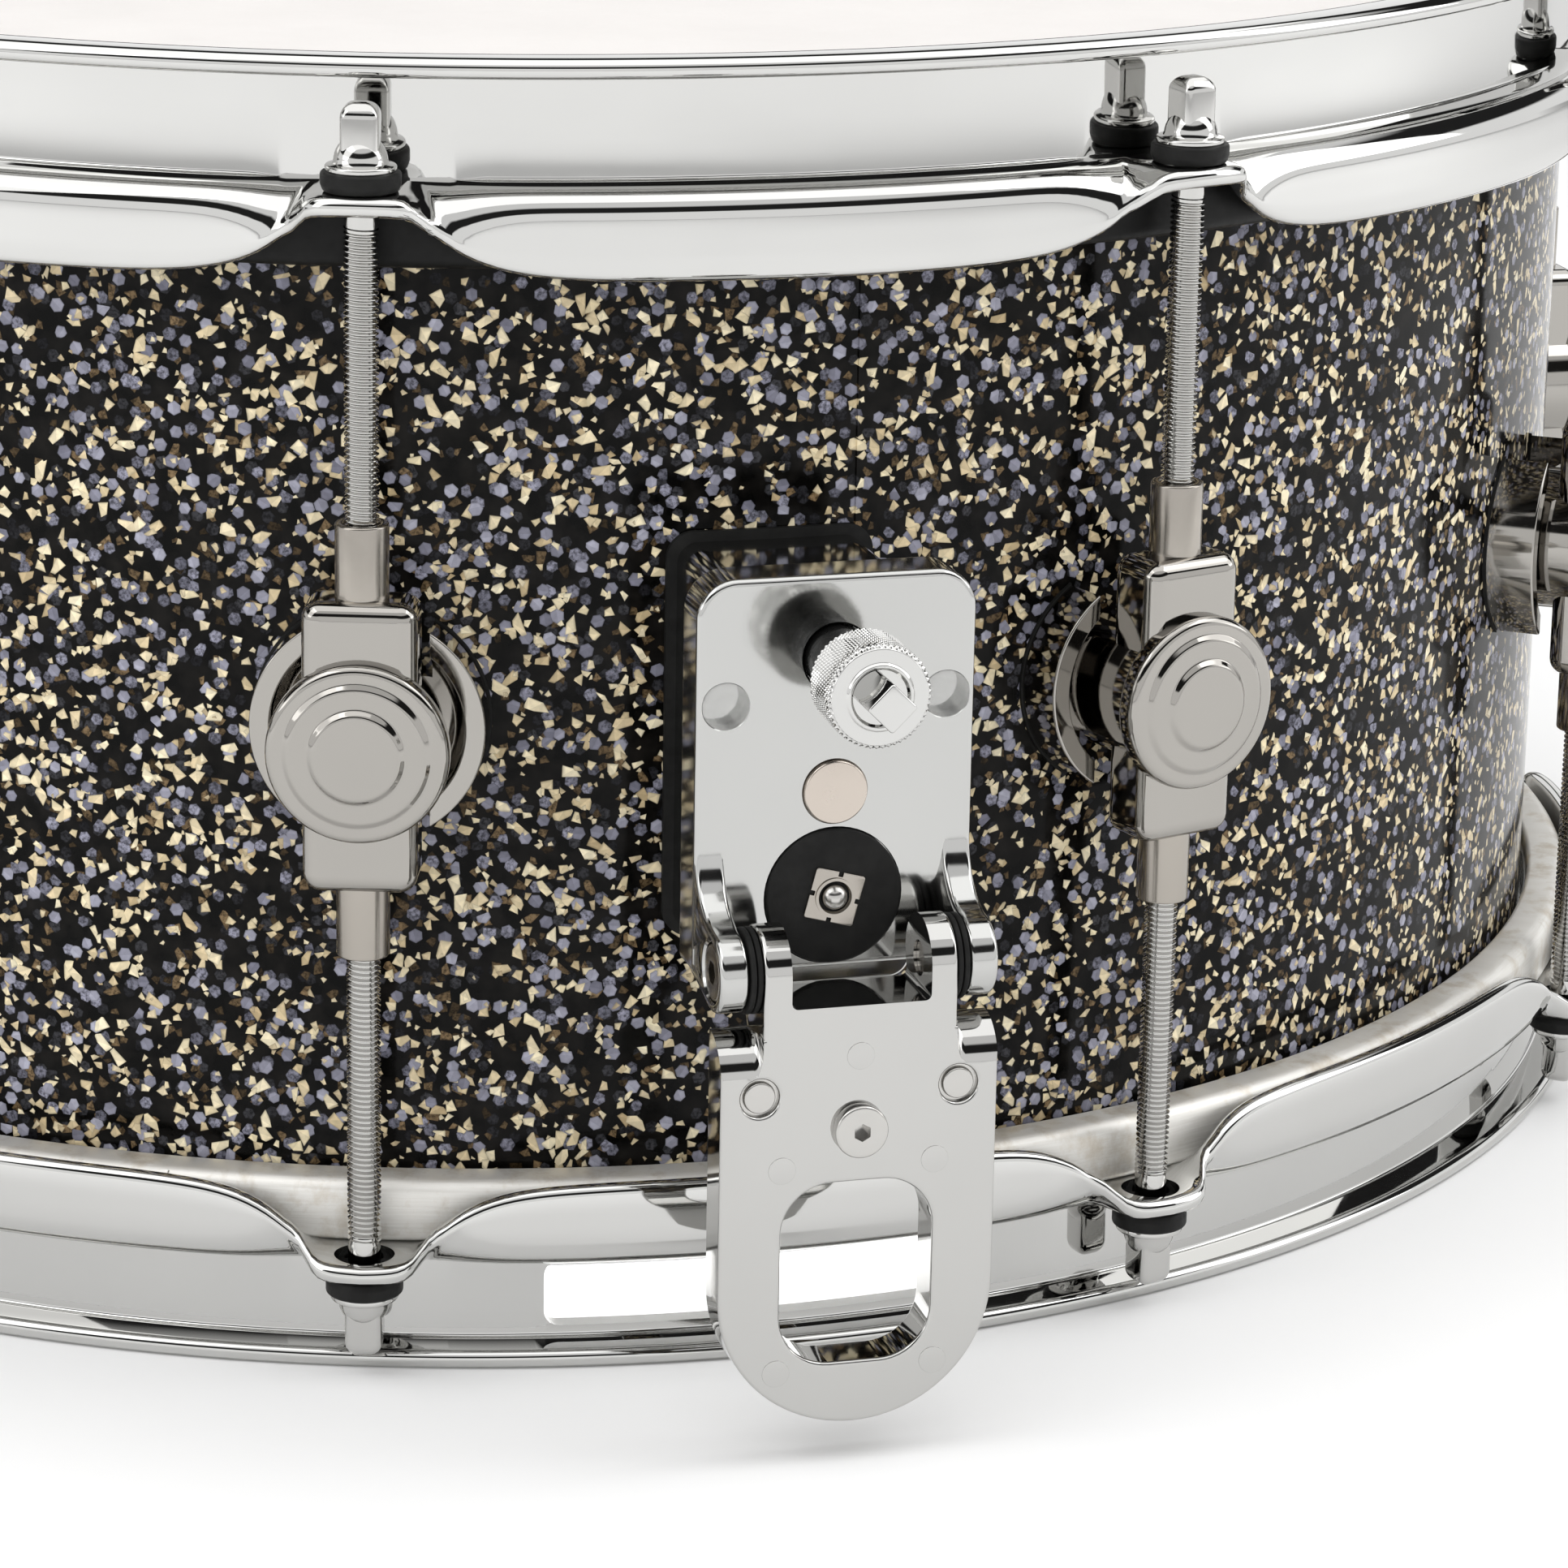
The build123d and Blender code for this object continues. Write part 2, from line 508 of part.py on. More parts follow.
def make_striker():
    """Socket screw in the lever that the magnet holds when the lever is shut."""
    head = front_rod(3.7, (LEVER_FRONT, LEVER_FRONT + 1.6), z=STRIKER_Z)
    head = chamfer(head.edges().group_by(Axis.Y)[0], 0.3)
    shank = front_rod(2.5, (LEVER_BACK + 0.5, LEVER_FRONT), z=STRIKER_Z)
    hexagon = Plane.XZ.offset(LEVER_FRONT + 0.3) * Pos(0, STRIKER_Z) * RegularPolygon(1.25, 6)
    return head + shank - extrude(hexagon, 2)


def make_lever_pins():
    return [front_rod(2.1, (LEVER_BACK + 1, LEVER_FRONT - 0.3), x, LEVER_PIN_Z) for x in LEVER_PIN_X]


def make_tension_screw():
    thread = front_rod(KNOB_SCREW_RADIUS, (KNOB_SCREW_BACK, PLATE_FRONT + 0.4), z=KNOB_Z)
    return thread + front_rod(4.5, (PLATE_FRONT + 0.3, 223), z=KNOB_Z)


def make_tension_knob():
    grip = front_rod(7.3, (223, 232), z=KNOB_Z)
    grip = chamfer(grip.edges().filter_by(GeomType.CIRCLE), 0.6)
    boss = front_rod(4.2, (232, 233.4), z=KNOB_Z)
    key = rounded(front_box((-2.6, 2.6), (233.4, 238), (-2.6, 2.6)), Axis.Y, 0.6)
    return grip + boss + Pos(0, 0, KNOB_Z) * Rot(0, 45, 0) * key


def make_snare_carriage():
    """Frame that the lever lifts inside the neck; the clamp slides in its window."""
    back, front = CAVITY_BACK + SLIDE_GAP, CAVITY_FRONT - SLIDE_GAP
    half = CAVITY_HALF - SLIDE_GAP
    frame = front_box((-half, half), (back, front), (CARRIAGE_LOW, CARRIAGE_HIGH))
    window_half = CLAMP_HALF + SLIDE_GAP
    top = CLAMP_HIGH + CLAMP_TRAVEL + SLIDE_GAP
    return frame - front_box((-window_half, window_half), (back - 1, front + 1), (CARRIAGE_LOW - 1, top))


def make_snare_clamp():
    """Clamp block with a slot for the snare strap, open below."""
    block = front_box((-CLAMP_HALF, CLAMP_HALF), (191.5, CAVITY_FRONT - 1), (CLAMP_LOW, CLAMP_HIGH))
    return block - [front_rod(1.5, (186, 202), x, CLAMP_SCREW_Z) for x in CLAMP_SCREW_X]


def make_snare_clamp_plate():
    plate = front_box((-CLAMP_HALF, CLAMP_HALF), (187.5, 190.0), (CLAMP_LOW, CLAMP_HIGH))
    return plate - [front_rod(1.5, (186, 202), x, CLAMP_SCREW_Z) for x in CLAMP_SCREW_X]


def make_snare_clamp_screws():
    return [front_rod(1.5, (187.0, CAVITY_FRONT - 1), x, CLAMP_SCREW_Z) for x in CLAMP_SCREW_X]


# ---- butt plate ---------------------------------------------------------
def make_butt_gasket():
    pad = front_box((-BUTT_HALF - 1, BUTT_HALF + 1), (165, 182), (BUTT_LOW - 1, BUTT_HIGH + 1))
    pad = rounded(pad, Axis.Y, 4.0)
    pad = pad & ring(WRAP_RADIUS, WRAP_RADIUS + STRAINER_GASKET, BUTT_LOW - 10, BUTT_HIGH + 10)
    bores = [front_rod(LUG_SCREW_RADIUS + 0.1, (160, 200), x, BUTT_SCREW_Z) for x in BUTT_SCREW_X]
    return to_back(pad - bores)


def make_butt_body():
    body = front_box((-BUTT_HALF, BUTT_HALF), (165, BUTT_OUT), (BUTT_LOW, BUTT_HIGH))
    body = rounded(body, Axis.Y, 3.5)
    body -= ring(0, WRAP_RADIUS + STRAINER_GASKET, BUTT_LOW - 10, BUTT_HIGH + 10)
    wide = (-BUTT_HALF - 1, BUTT_HALF + 1)
    body -= front_box(wide, (BUTT_CLAMP_OUT, BUTT_OUT + 1), (BUTT_LOW - 1, BUTT_STEP_Z))
    body -= [front_rod(LUG_SCREW_RADIUS, (160, 186), x, BUTT_SCREW_Z) for x in BUTT_SCREW_X]
    return to_back(body - [front_rod(2.0, (182, 195), x, BUTT_CLAMP_Z) for x in BUTT_CLAMP_X])


def make_butt_clamp_plate():
    half = BUTT_HALF - 2
    thickness = (BUTT_CLAMP_OUT + 0.8, BUTT_CLAMP_FRONT)
    plate = front_box((-half, half), thickness, (BUTT_LOW + 1, BUTT_STEP_Z - 0.8))
    plate = rounded(plate, Axis.Y, 2.5)
    return to_back(plate - [front_rod(2.05, (182, 196), x, BUTT_CLAMP_Z) for x in BUTT_CLAMP_X])


def make_butt_clamp_screws():
    """Square-headed screws that close the clamp."""
    half, collar = ROD_SQUARE / 2 - 0.2, BUTT_CLAMP_FRONT + 1
    square = rounded(front_box((-half, half), (collar, collar + 5), (-half, half)), Axis.Y, 0.8)
    flange = front_rod(4.6, (BUTT_CLAMP_FRONT, collar))
    screw = front_rod(2.0, (182.5, BUTT_CLAMP_FRONT)) + flange + square
    return [to_back(Pos(x, 0, BUTT_CLAMP_Z) * screw) for x in BUTT_CLAMP_X]


# ---- the nodes ----------------------------------------------------------
def make_nodes():
    nodes = {
        "shell": make_shell(),
        "shell_wrap": make_wrap(),
        "reinforcement_rings": make_reinforcement_rings(),
        "vent_eyelet": make_vent_eyelet(),
        "batter_head": make_head(BATTER_FLANGE_Z),
        "batter_flesh_hoop": make_flesh_hoop(BATTER_FLANGE_Z),
        "batter_hoop": make_hoop(BATTER_FLANGE_Z),
        "snare_head": mirrored(make_head(SNARE_FLANGE_Z)),
        "snare_flesh_hoop": mirrored(make_flesh_hoop(SNARE_FLANGE_Z)),
        "snare_hoop": make_snare_hoop(),
        "batter_rod_washers": make_rod_washers(BATTER_FLANGE_Z),
        "snare_rod_washers": [mirrored(washer) for washer in make_rod_washers(SNARE_FLANGE_Z)],
        "lugs": make_lugs(),
        "lug_receivers": make_receivers(),
        "lug_gaskets": make_lug_gaskets(),
        "lug_screws": make_lug_screws(),
        "strainer_gasket": make_strainer_gasket(),
        "strainer_neck": make_strainer_neck(),
        "mounting_screws": make_mounting_screws(),
        "strainer_body": make_strainer_body(),
        "hinge_washers": make_hinge_washers(),
        "hinge_screws": make_hinge_screws(),
        "magnet": make_magnet(),
        "bumpers": make_bumpers(),
        "guide_disc": make_guide_disc(),
        "push_nut": make_push_nut(),
        "guide_stud": make_guide_stud(),
        "throw_lever": make_lever(),
        "lever_striker": make_striker(),
        "lever_pins": make_lever_pins(),
        "tension_screw": make_tension_screw(),
        "tension_knob": make_tension_knob(),
        "snare_carriage": make_snare_carriage(),
        "snare_clamp": make_snare_clamp(),
        "snare_clamp_plate": make_snare_clamp_plate(),
        "snare_clamp_screws": make_snare_clamp_screws(),
        "butt_gasket": make_butt_gasket(),
        "butt_body": make_butt_body(),
        "butt_clamp_plate": make_butt_clamp_plate(),
        "butt_clamp_screws": make_butt_clamp_screws(),
    }
    batter_rod, snare_rod = make_rod(BATTER_FLANGE_Z), mirrored(make_rod(SNARE_FLANGE_Z))
    for index, angle in enumerate(LUG_ANGLES, start=1):
        nodes[f"batter_rod_{index:02d}"] = at_angle(batter_rod, angle)
        nodes[f"snare_rod_{index:02d}"] = at_angle(snare_rod, angle)
    return nodes


def solids_of(shape):
    """Every solid of a piece, or of a list of pieces."""
    pieces = shape if isinstance(shape, list) else [shape]
    return [solid for piece in pieces for solid in piece.solids()]


def main():
    os.makedirs("parts", exist_ok=True)
    for name, shape in make_nodes().items():
        solids = solids_of(shape)
        part = solids[0] if len(solids) == 1 else Compound(children=solids)
        export_step(part, f"parts/{name}.step")


main()
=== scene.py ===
"""Looks of the snare drum: its finished pieces, materials, studio and camera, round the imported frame.

Lengths in this file are millimetres until a mesh is made. A piece on the side of the drum is
drawn at the front in local axes: "across" runs to the right, "up" is the height above the floor,
and "out" is the distance from the drum's axis. It is then turned to its place round the drum.
"""
from math import cos, exp, hypot, pi, radians, sin

import bmesh
import bpy
import numpy as np
from mathutils import Matrix, Vector


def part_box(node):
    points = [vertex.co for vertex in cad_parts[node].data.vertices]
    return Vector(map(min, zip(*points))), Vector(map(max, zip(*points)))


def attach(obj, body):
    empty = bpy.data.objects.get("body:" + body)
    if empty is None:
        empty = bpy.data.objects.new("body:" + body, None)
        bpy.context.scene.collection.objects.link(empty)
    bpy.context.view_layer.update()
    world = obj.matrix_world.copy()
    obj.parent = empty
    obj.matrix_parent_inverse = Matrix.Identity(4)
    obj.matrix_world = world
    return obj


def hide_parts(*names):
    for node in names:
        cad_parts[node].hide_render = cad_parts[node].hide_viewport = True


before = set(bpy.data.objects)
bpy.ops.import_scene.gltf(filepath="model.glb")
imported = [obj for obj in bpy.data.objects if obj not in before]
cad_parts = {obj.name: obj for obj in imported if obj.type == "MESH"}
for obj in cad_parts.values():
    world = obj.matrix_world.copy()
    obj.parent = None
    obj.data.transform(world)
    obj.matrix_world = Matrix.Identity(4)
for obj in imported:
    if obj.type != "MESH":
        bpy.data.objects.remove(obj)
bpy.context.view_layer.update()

MM = 0.001


def edge_mm(node, side, axis):
    """One face of a CAD node's box: side 0 is the low one, 1 the high one."""
    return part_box(node)[side][axis] / MM


def middle_mm(node, axis):
    return (edge_mm(node, 0, axis) + edge_mm(node, 1, axis)) / 2


# ---- sizes --------------------------------------------------------------
DRUM_TOP = edge_mm("batter_hoop", 1, 2)
MID = DRUM_TOP / 2
WRAP_RADIUS = edge_mm("shell_wrap", 1, 0)
SHELL_TOP = edge_mm("shell", 1, 2)
LUG_ANGLES = [18 + 36 * i for i in range(10)]
ROD_CIRCLE = 190.5
SIDES = ("batter", "snare")

SHEET = 2.8                   # metal of the rims
LIP_OUT = 188.5
WALL_OUT = 181.0              # middle of the wall's sheet
SKIRT_START = 185.6           # where the flange starts to turn down
SKIRT_BEND = 2.8
EAR_FLAT, EAR_CORNER = 7.2, 1.4   # half width of an ear, and how softly it turns down there
EDGE_RUN, BEND_RUN = 11.7, 7.5
SOFT_BEND, SOFT_SHIFT, SOFT_RUN = 4.2, 2.4, 8.5   # the fold beside an ear is wider and starts further in
EAR_LENGTH, SKIRT_LENGTH = 10.2, 11.8
EAR_HOLE = 4.3
WASHER_THICK = 2.6
THREAD_RADIUS, THREAD_ROOT, PITCH = 2.413, 1.93, 0.794
THREAD_LOW = 112.5

HINGE_OUT, HINGE_UP = 220.75, middle_mm("hinge_screws", 2)
PLATE_FRONT = -edge_mm("bumpers", 1, 1) + 3.0
PLATE_BACK = 204.0
PLATE_HALF = edge_mm("strainer_body", 1, 0)
PLATE_LOW, PLATE_TOP = HINGE_UP - 3.4, edge_mm("strainer_body", 1, 2)
LEVER_BACK = 220.0
LEVER_FRONT = -edge_mm("throw_lever", 0, 1)
LEVER_HALF = edge_mm("throw_lever", 1, 0)
LEVER_LOW = edge_mm("throw_lever", 0, 2)
KNOB_UP = middle_mm("tension_knob", 2)


def side_up(side, height):
    """A height above the floor, counted from the far rim for the snare side."""
    return height if side == "batter" else DRUM_TOP - height


def flange_under(side):
    """Underside of a rim's flange, counted as if that side were up."""
    return side_up(side, edge_mm(f"{side}_flesh_hoop", 1 if side == "batter" else 0, 2))


def rod_top(side):
    return side_up(side, edge_mm(f"{side}_rod_01", 1 if side == "batter" else 0, 2))


# ---- mesh helpers -------------------------------------------------------
def to_world(points, angle=0.0):
    """(across, up, out) in millimetres at an angle round the drum, as (x, y, z) in metres."""
    across, up, out = np.asarray(points, float).T
    turn = radians(angle)
    x = across * cos(turn) + out * sin(turn)
    y = across * sin(turn) - out * cos(turn)
    return np.column_stack((x, y, up)) * MM


def make_mesh(name, verts, faces, sharp=32):
    """A mesh with outward normals, smooth except at edges sharper than an angle."""
    mesh = bpy.data.meshes.new(name)
    mesh.from_pydata([tuple(v) for v in verts], [], [tuple(int(i) for i in f) for f in faces])
    return finish_mesh(mesh, sharp)


def finish_mesh(mesh, sharp=32, merge=1e-7):
    work = bmesh.new()
    work.from_mesh(mesh)
    bmesh.ops.remove_doubles(work, verts=work.verts, dist=merge)
    bmesh.ops.recalc_face_normals(work, faces=work.faces)
    work.to_mesh(mesh)
    work.free()
    mesh.polygons.foreach_set("use_smooth", [True] * len(mesh.polygons))
    mesh.set_sharp_from_angle(angle=radians(sharp))
    return mesh


def new_object(name, mesh, material=None):
    obj = bpy.data.objects.new(name, mesh)
    bpy.context.scene.collection.objects.link(obj)
    if material is not None:
        mesh.materials.clear()
        mesh.materials.append(material)
    return obj


def joined(parts):
    """Several (verts, faces) as one."""
    verts, faces, start = [], [], 0
    for part_verts, part_faces in parts:
        verts.append(np.asarray(part_verts, float))
        faces += [[i + start for i in face] for face in part_faces]
        start += len(part_verts)
    return np.vstack(verts), faces


def mesh_parts(mesh):
    return np.array([v.co[:] for v in mesh.vertices]), [list(p.vertices) for p in mesh.polygons]


def cut(mesh, cutters, operation="DIFFERENCE", sharp=32):
    """A mesh with other meshes cut from it, joined to it or kept in common with it."""
    obj = new_object("work", mesh)
    others = []
    for cutter in cutters:
        other = new_object("cutter", cutter)
        others.append(other)
        step = obj.modifiers.new("cut", "BOOLEAN")
        step.operation = operation
        step.solver = "EXACT"
        step.object = other
    shape = obj.evaluated_get(bpy.context.evaluated_depsgraph_get())
    result = bpy.data.meshes.new_from_object(shape)
    for item in [obj] + others:
        bpy.data.objects.remove(item)
    result.materials.clear()
    return finish_mesh(result, sharp)


def arc(centre, radius, start, end, steps):
    """Points of an arc, with angles in degrees."""
    turns = np.radians(np.linspace(start, end, steps))
    return [(centre[0] + radius * cos(t), centre[1] + radius * sin(t)) for t in turns]


def softened(points, radius, closed=True, steps=5):
    """An outline whose corners are rounded. A point may carry its own radius as a third number."""
    result = []
    count = len(points)
    for i, point in enumerate(points):
        here = np.array(point[:2], float)
        own = point[2] if len(point) > 2 else radius
        if own <= 0 or (not closed and i in (0, count - 1)):
            result.append(tuple(here))
            continue
        before = np.array(points[i - 1][:2], float) - here
        after = np.array(points[(i + 1) % count][:2], float) - here
        len_a, len_b = np.linalg.norm(before), np.linalg.norm(after)
        dir_a, dir_b = before / len_a, after / len_b
        half = np.arccos(np.clip(np.dot(dir_a, dir_b), -1, 1)) / 2
        if half > radians(89.5):
            result.append(tuple(here))
            continue
        reach = min(own / np.tan(half), 0.49 * len_a, 0.49 * len_b)
        bend = reach * np.tan(half)
        centre = here + (dir_a + dir_b) / np.linalg.norm(dir_a + dir_b) * bend / sin(half)
        first, last = here + dir_a * reach - centre, here + dir_b * reach - centre
        a0, a1 = np.arctan2(first[1], first[0]), np.arctan2(last[1], last[0])
        sweep = (a1 - a0 + pi) % (2 * pi) - pi
        for k in range(steps + 1):
            t = a0 + sweep * k / steps
            result.append((centre[0] + bend * cos(t), centre[1] + bend * sin(t)))
    return result


def lathe(profile, steps=64):
    """A (radius, height) profile turned about an axis: (u, v, height) points and faces.

    A profile that starts and ends on the axis closes there; any other is a closed loop."""
    capped = profile[0][0] == 0 and profile[-1][0] == 0
    ring = np.array(profile[1:-1] if capped else profile, float)
    count = len(ring)
    turns = np.arange(steps) * 2 * pi / steps
    verts = np.array([(r * cos(t), r * sin(t), h) for t in turns for r, h in ring])
    faces = []
    for j in range(steps):
        a, b = j * count, (j + 1) % steps * count
        for i in range(count - (1 if capped else 0)):
            k = (i + 1) % count
            faces.append([a + i, b + i, b + k, a + k])
    if capped:
        low, high = len(verts), len(verts) + 1
        verts = np.vstack((verts, [(0, 0, profile[0][1]), (0, 0, profile[-1][1])]))
        for j in range(steps):
            a, b = j * count, (j + 1) % steps * count
            faces.append([low, b, a])
            faces.append([high, a + count - 1, b + count - 1])
    return verts, faces


def about_up(shape, across=0.0, out=0.0):
    """A lathed shape stood upright at a place beside the drum."""
    (u, v, h), faces = shape[0].T, shape[1]
    return np.column_stack((across + u, h, out + v)), faces


def about_out(shape, across=0.0, up=0.0):
    """A lathed shape that points straight out of the drum."""
    (u, v, h), faces = shape[0].T, shape[1]
    return np.column_stack((across + u, up + v, h)), faces


def about_across(shape, up=0.0, out=0.0):
    """A lathed shape that lies along the across axis."""
    (u, v, h), faces = shape[0].T, shape[1]
    return np.column_stack((h, up + u, out + v)), faces


def area_of(outline):
    x, y = np.array(outline).T
    return 0.5 * float(np.sum(x * np.roll(y, -1) - np.roll(x, -1) * y))


def slab(outline, low, high, bevel=0.0, holes=(), steps=3):
    """A flat shape with holes, given thickness and soft edges: (u, v, height) points and faces."""
    curve = bpy.data.curves.new("outline", "CURVE")
    curve.dimensions = "2D"
    curve.fill_mode = "BOTH"
    curve.extrude = (high - low) / 2 - bevel
    curve.bevel_depth = bevel
    curve.bevel_resolution = steps
    curve.offset = -bevel
    for number, points in enumerate([outline, *holes]):
        wanted = 1 if number == 0 else -1
        points = points if area_of(points) * wanted > 0 else points[::-1]
        spline = curve.splines.new("POLY")
        spline.points.add(len(points) - 1)
        spline.use_cyclic_u = True
        spline.points.foreach_set("co", [c for p in points for c in (p[0], p[1], 0, 1)])
    obj = bpy.data.objects.new("outline", curve)
    bpy.context.scene.collection.objects.link(obj)
    shape = obj.evaluated_get(bpy.context.evaluated_depsgraph_get())
    mesh = bpy.data.meshes.new_from_object(shape)
    bpy.data.objects.remove(obj)
    bpy.data.curves.remove(curve)
    verts, faces = mesh_parts(mesh)
    verts[:, 2] += (low + high) / 2
    return verts, faces


def facing_out(shape):
    """A slab drawn in (across, up) with its thickness along out."""
    return shape


def facing_across(shape):
    """A slab drawn in (out, up) with its thickness along across."""
    (u, v, h), faces = shape[0].T, shape[1]
    return np.column_stack((h, v, u)), faces


def rounded_box(half_u, half_v, radius, centre=(0.0, 0.0), steps=5):
    u, v = centre
    corners = [(u - half_u, v - half_v), (u + half_u, v - half_v), (u + half_u, v + half_v), (u - half_u, v + half_v)]
    return softened(corners, radius, steps=steps)


def circle(radius, centre=(0.0, 0.0), steps=40):
    return arc(centre, radius, 0, 360 - 360 / steps, steps)


def local_mesh(name, parts, sharp=32, angle=0.0):
    """A mesh at an angle round the drum from parts in (across, up, out) millimetres."""
    verts, faces = joined(parts)
    return make_mesh(name, to_world(verts, angle), faces, sharp)


def merged(meshes):
    """Several meshes as one, each left as it is."""
    work = bmesh.new()
    for mesh in meshes:
        work.from_mesh(mesh)
    result = bpy.data.meshes.new("merged")
    work.to_mesh(result)
    work.free()
    return result


def piece(name, mesh, material, body, nodes=(), even=False):
    """A finished piece of the drum, on its body, standing for CAD nodes.

    A piece cut from flat shapes is made even, so that its flat faces are shaded flat."""
    obj = new_object(name, mesh, material)
    if even:
        step = obj.modifiers.new("even", "WEIGHTED_NORMAL")
        step.keep_sharp = True
        step.weight = 100
    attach(obj, body)
    if nodes:
        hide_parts(*nodes)
    return obj


# ---- materials ----------------------------------------------------------
class Shader:
    """One material's node tree, with short ways to add to it."""

    def __init__(self, name, **values):
        self.material = bpy.data.materials.new(name)
        self.material.use_nodes = True
        self.tree = self.material.node_tree
        self.surface = self.tree.nodes["Principled BSDF"]
        self.millimetres = None
        for socket, value in values.items():
            self.surface.inputs[socket.replace("_", " ")].default_value = value

    def node(self, kind, **settings):
        node = self.tree.nodes.new("ShaderNode" + kind)
        for key, value in settings.items():
            setattr(node, key, value)
        return node

    def feed(self, socket, value):
        """Links an output to a socket, or sets a constant on it."""
        if isinstance(value, bpy.types.NodeSocket):
            self.tree.links.new(value, socket)
        else:
            socket.default_value = value

    def math(self, operation, *values):
        node = self.node("Math", operation=operation)
        for socket, value in zip(node.inputs, values):
            self.feed(socket, value)
        return node.outputs[0]

    def mix(self, amount, first, second):
        node = self.node("Mix", data_type="RGBA")
        self.feed(node.inputs["Factor"], amount)
        self.feed(node.inputs["A"], first)
        self.feed(node.inputs["B"], second)
        return node.outputs["Result"]

    def place(self):
        """The piece's own coordinates in millimetres."""
        if self.millimetres is None:
            scale = self.node("VectorMath", operation="SCALE")
            self.feed(scale.inputs[0], self.node("TexCoord").outputs["Object"])
            scale.inputs["Scale"].default_value = 1000.0
            self.millimetres = scale.outputs[0]
        return self.millimetres

    def split(self, vector):
        node = self.node("SeparateXYZ")
        self.feed(node.inputs[0], vector)
        return node.outputs

    def vector(self, x, y, z=0.0):
        node = self.node("CombineXYZ")
        for socket, value in zip(node.inputs, (x, y, z)):
            self.feed(socket, value)
        return node.outputs[0]

    def noise(self, size, detail=2.0, where=None, rough=0.5):
        """Fractal noise whose features are about a size in millimetres."""
        node = self.node("TexNoise")
        self.feed(node.inputs["Vector"], where or self.place())
        node.inputs["Scale"].default_value = 1.0 / size
        node.inputs["Detail"].default_value = detail
        node.inputs["Roughness"].default_value = rough
        return node.outputs[0]

    def ramp(self, value, low, high, to_low=0.0, to_high=1.0):
        node = self.node("MapRange", clamp=True)
        self.feed(node.inputs["Value"], value)
        for socket, number in zip(("From Min", "From Max", "To Min", "To Max"), (low, high, to_low, to_high)):
            node.inputs[socket].default_value = number
        return node.outputs[0]

    def bump(self, height, depth, strength=1.0):
        """Relief of a depth in millimetres."""
        node = self.node("Bump")
        node.inputs["Strength"].default_value = strength
        node.inputs["Distance"].default_value = depth * MM
        self.feed(node.inputs["Height"], height)
        self.feed(self.surface.inputs["Normal"], node.outputs[0])

    def give(self, socket, value):
        self.feed(self.surface.inputs[socket], value)


def plated(name, colour, roughness, wave=0.004, wave_size=9.0, spread=0.03):
    """Bright plating: a mirror with a faint waviness and a slightly uneven polish."""
    shader = Shader(name, Metallic=1.0)
    tint = shader.ramp(shader.noise(35.0, 3.0), 0.35, 0.65)
    darker = tuple(c * 0.97 for c in colour[:3]) + (1.0,)
    shader.give("Base Color", shader.mix(tint, darker, colour))
    polish_and_sheen = shader.ramp(shader.noise(2.5, 4.0), 0.3, 0.7, roughness, roughness + spread)
    shader.give("Roughness", polish_and_sheen)
    shader.bump(shader.noise(wave_size, 1.0), wave)
    return shader.material


def moulded_black(name, level, roughness, grain=0.35):
    """Black nylon, rubber or paint, and the plain black of the batter flesh ring, with a fine grain."""
    shader = Shader(name, Specular_IOR_Level=0.18)
    blotch = shader.ramp(shader.noise(4.0, 3.0), 0.35, 0.65)
    light = level * 1.7
    shader.give("Base Color", shader.mix(blotch, (level, level, level * 0.97, 1), (light, light, light * 0.95, 1)))
    shader.give("Roughness", shader.ramp(shader.noise(1.2, 3.0), 0.3, 0.7, roughness - 0.08, roughness + 0.1))
    shader.bump(shader.noise(grain, 2.0), 0.02)
    return shader.material


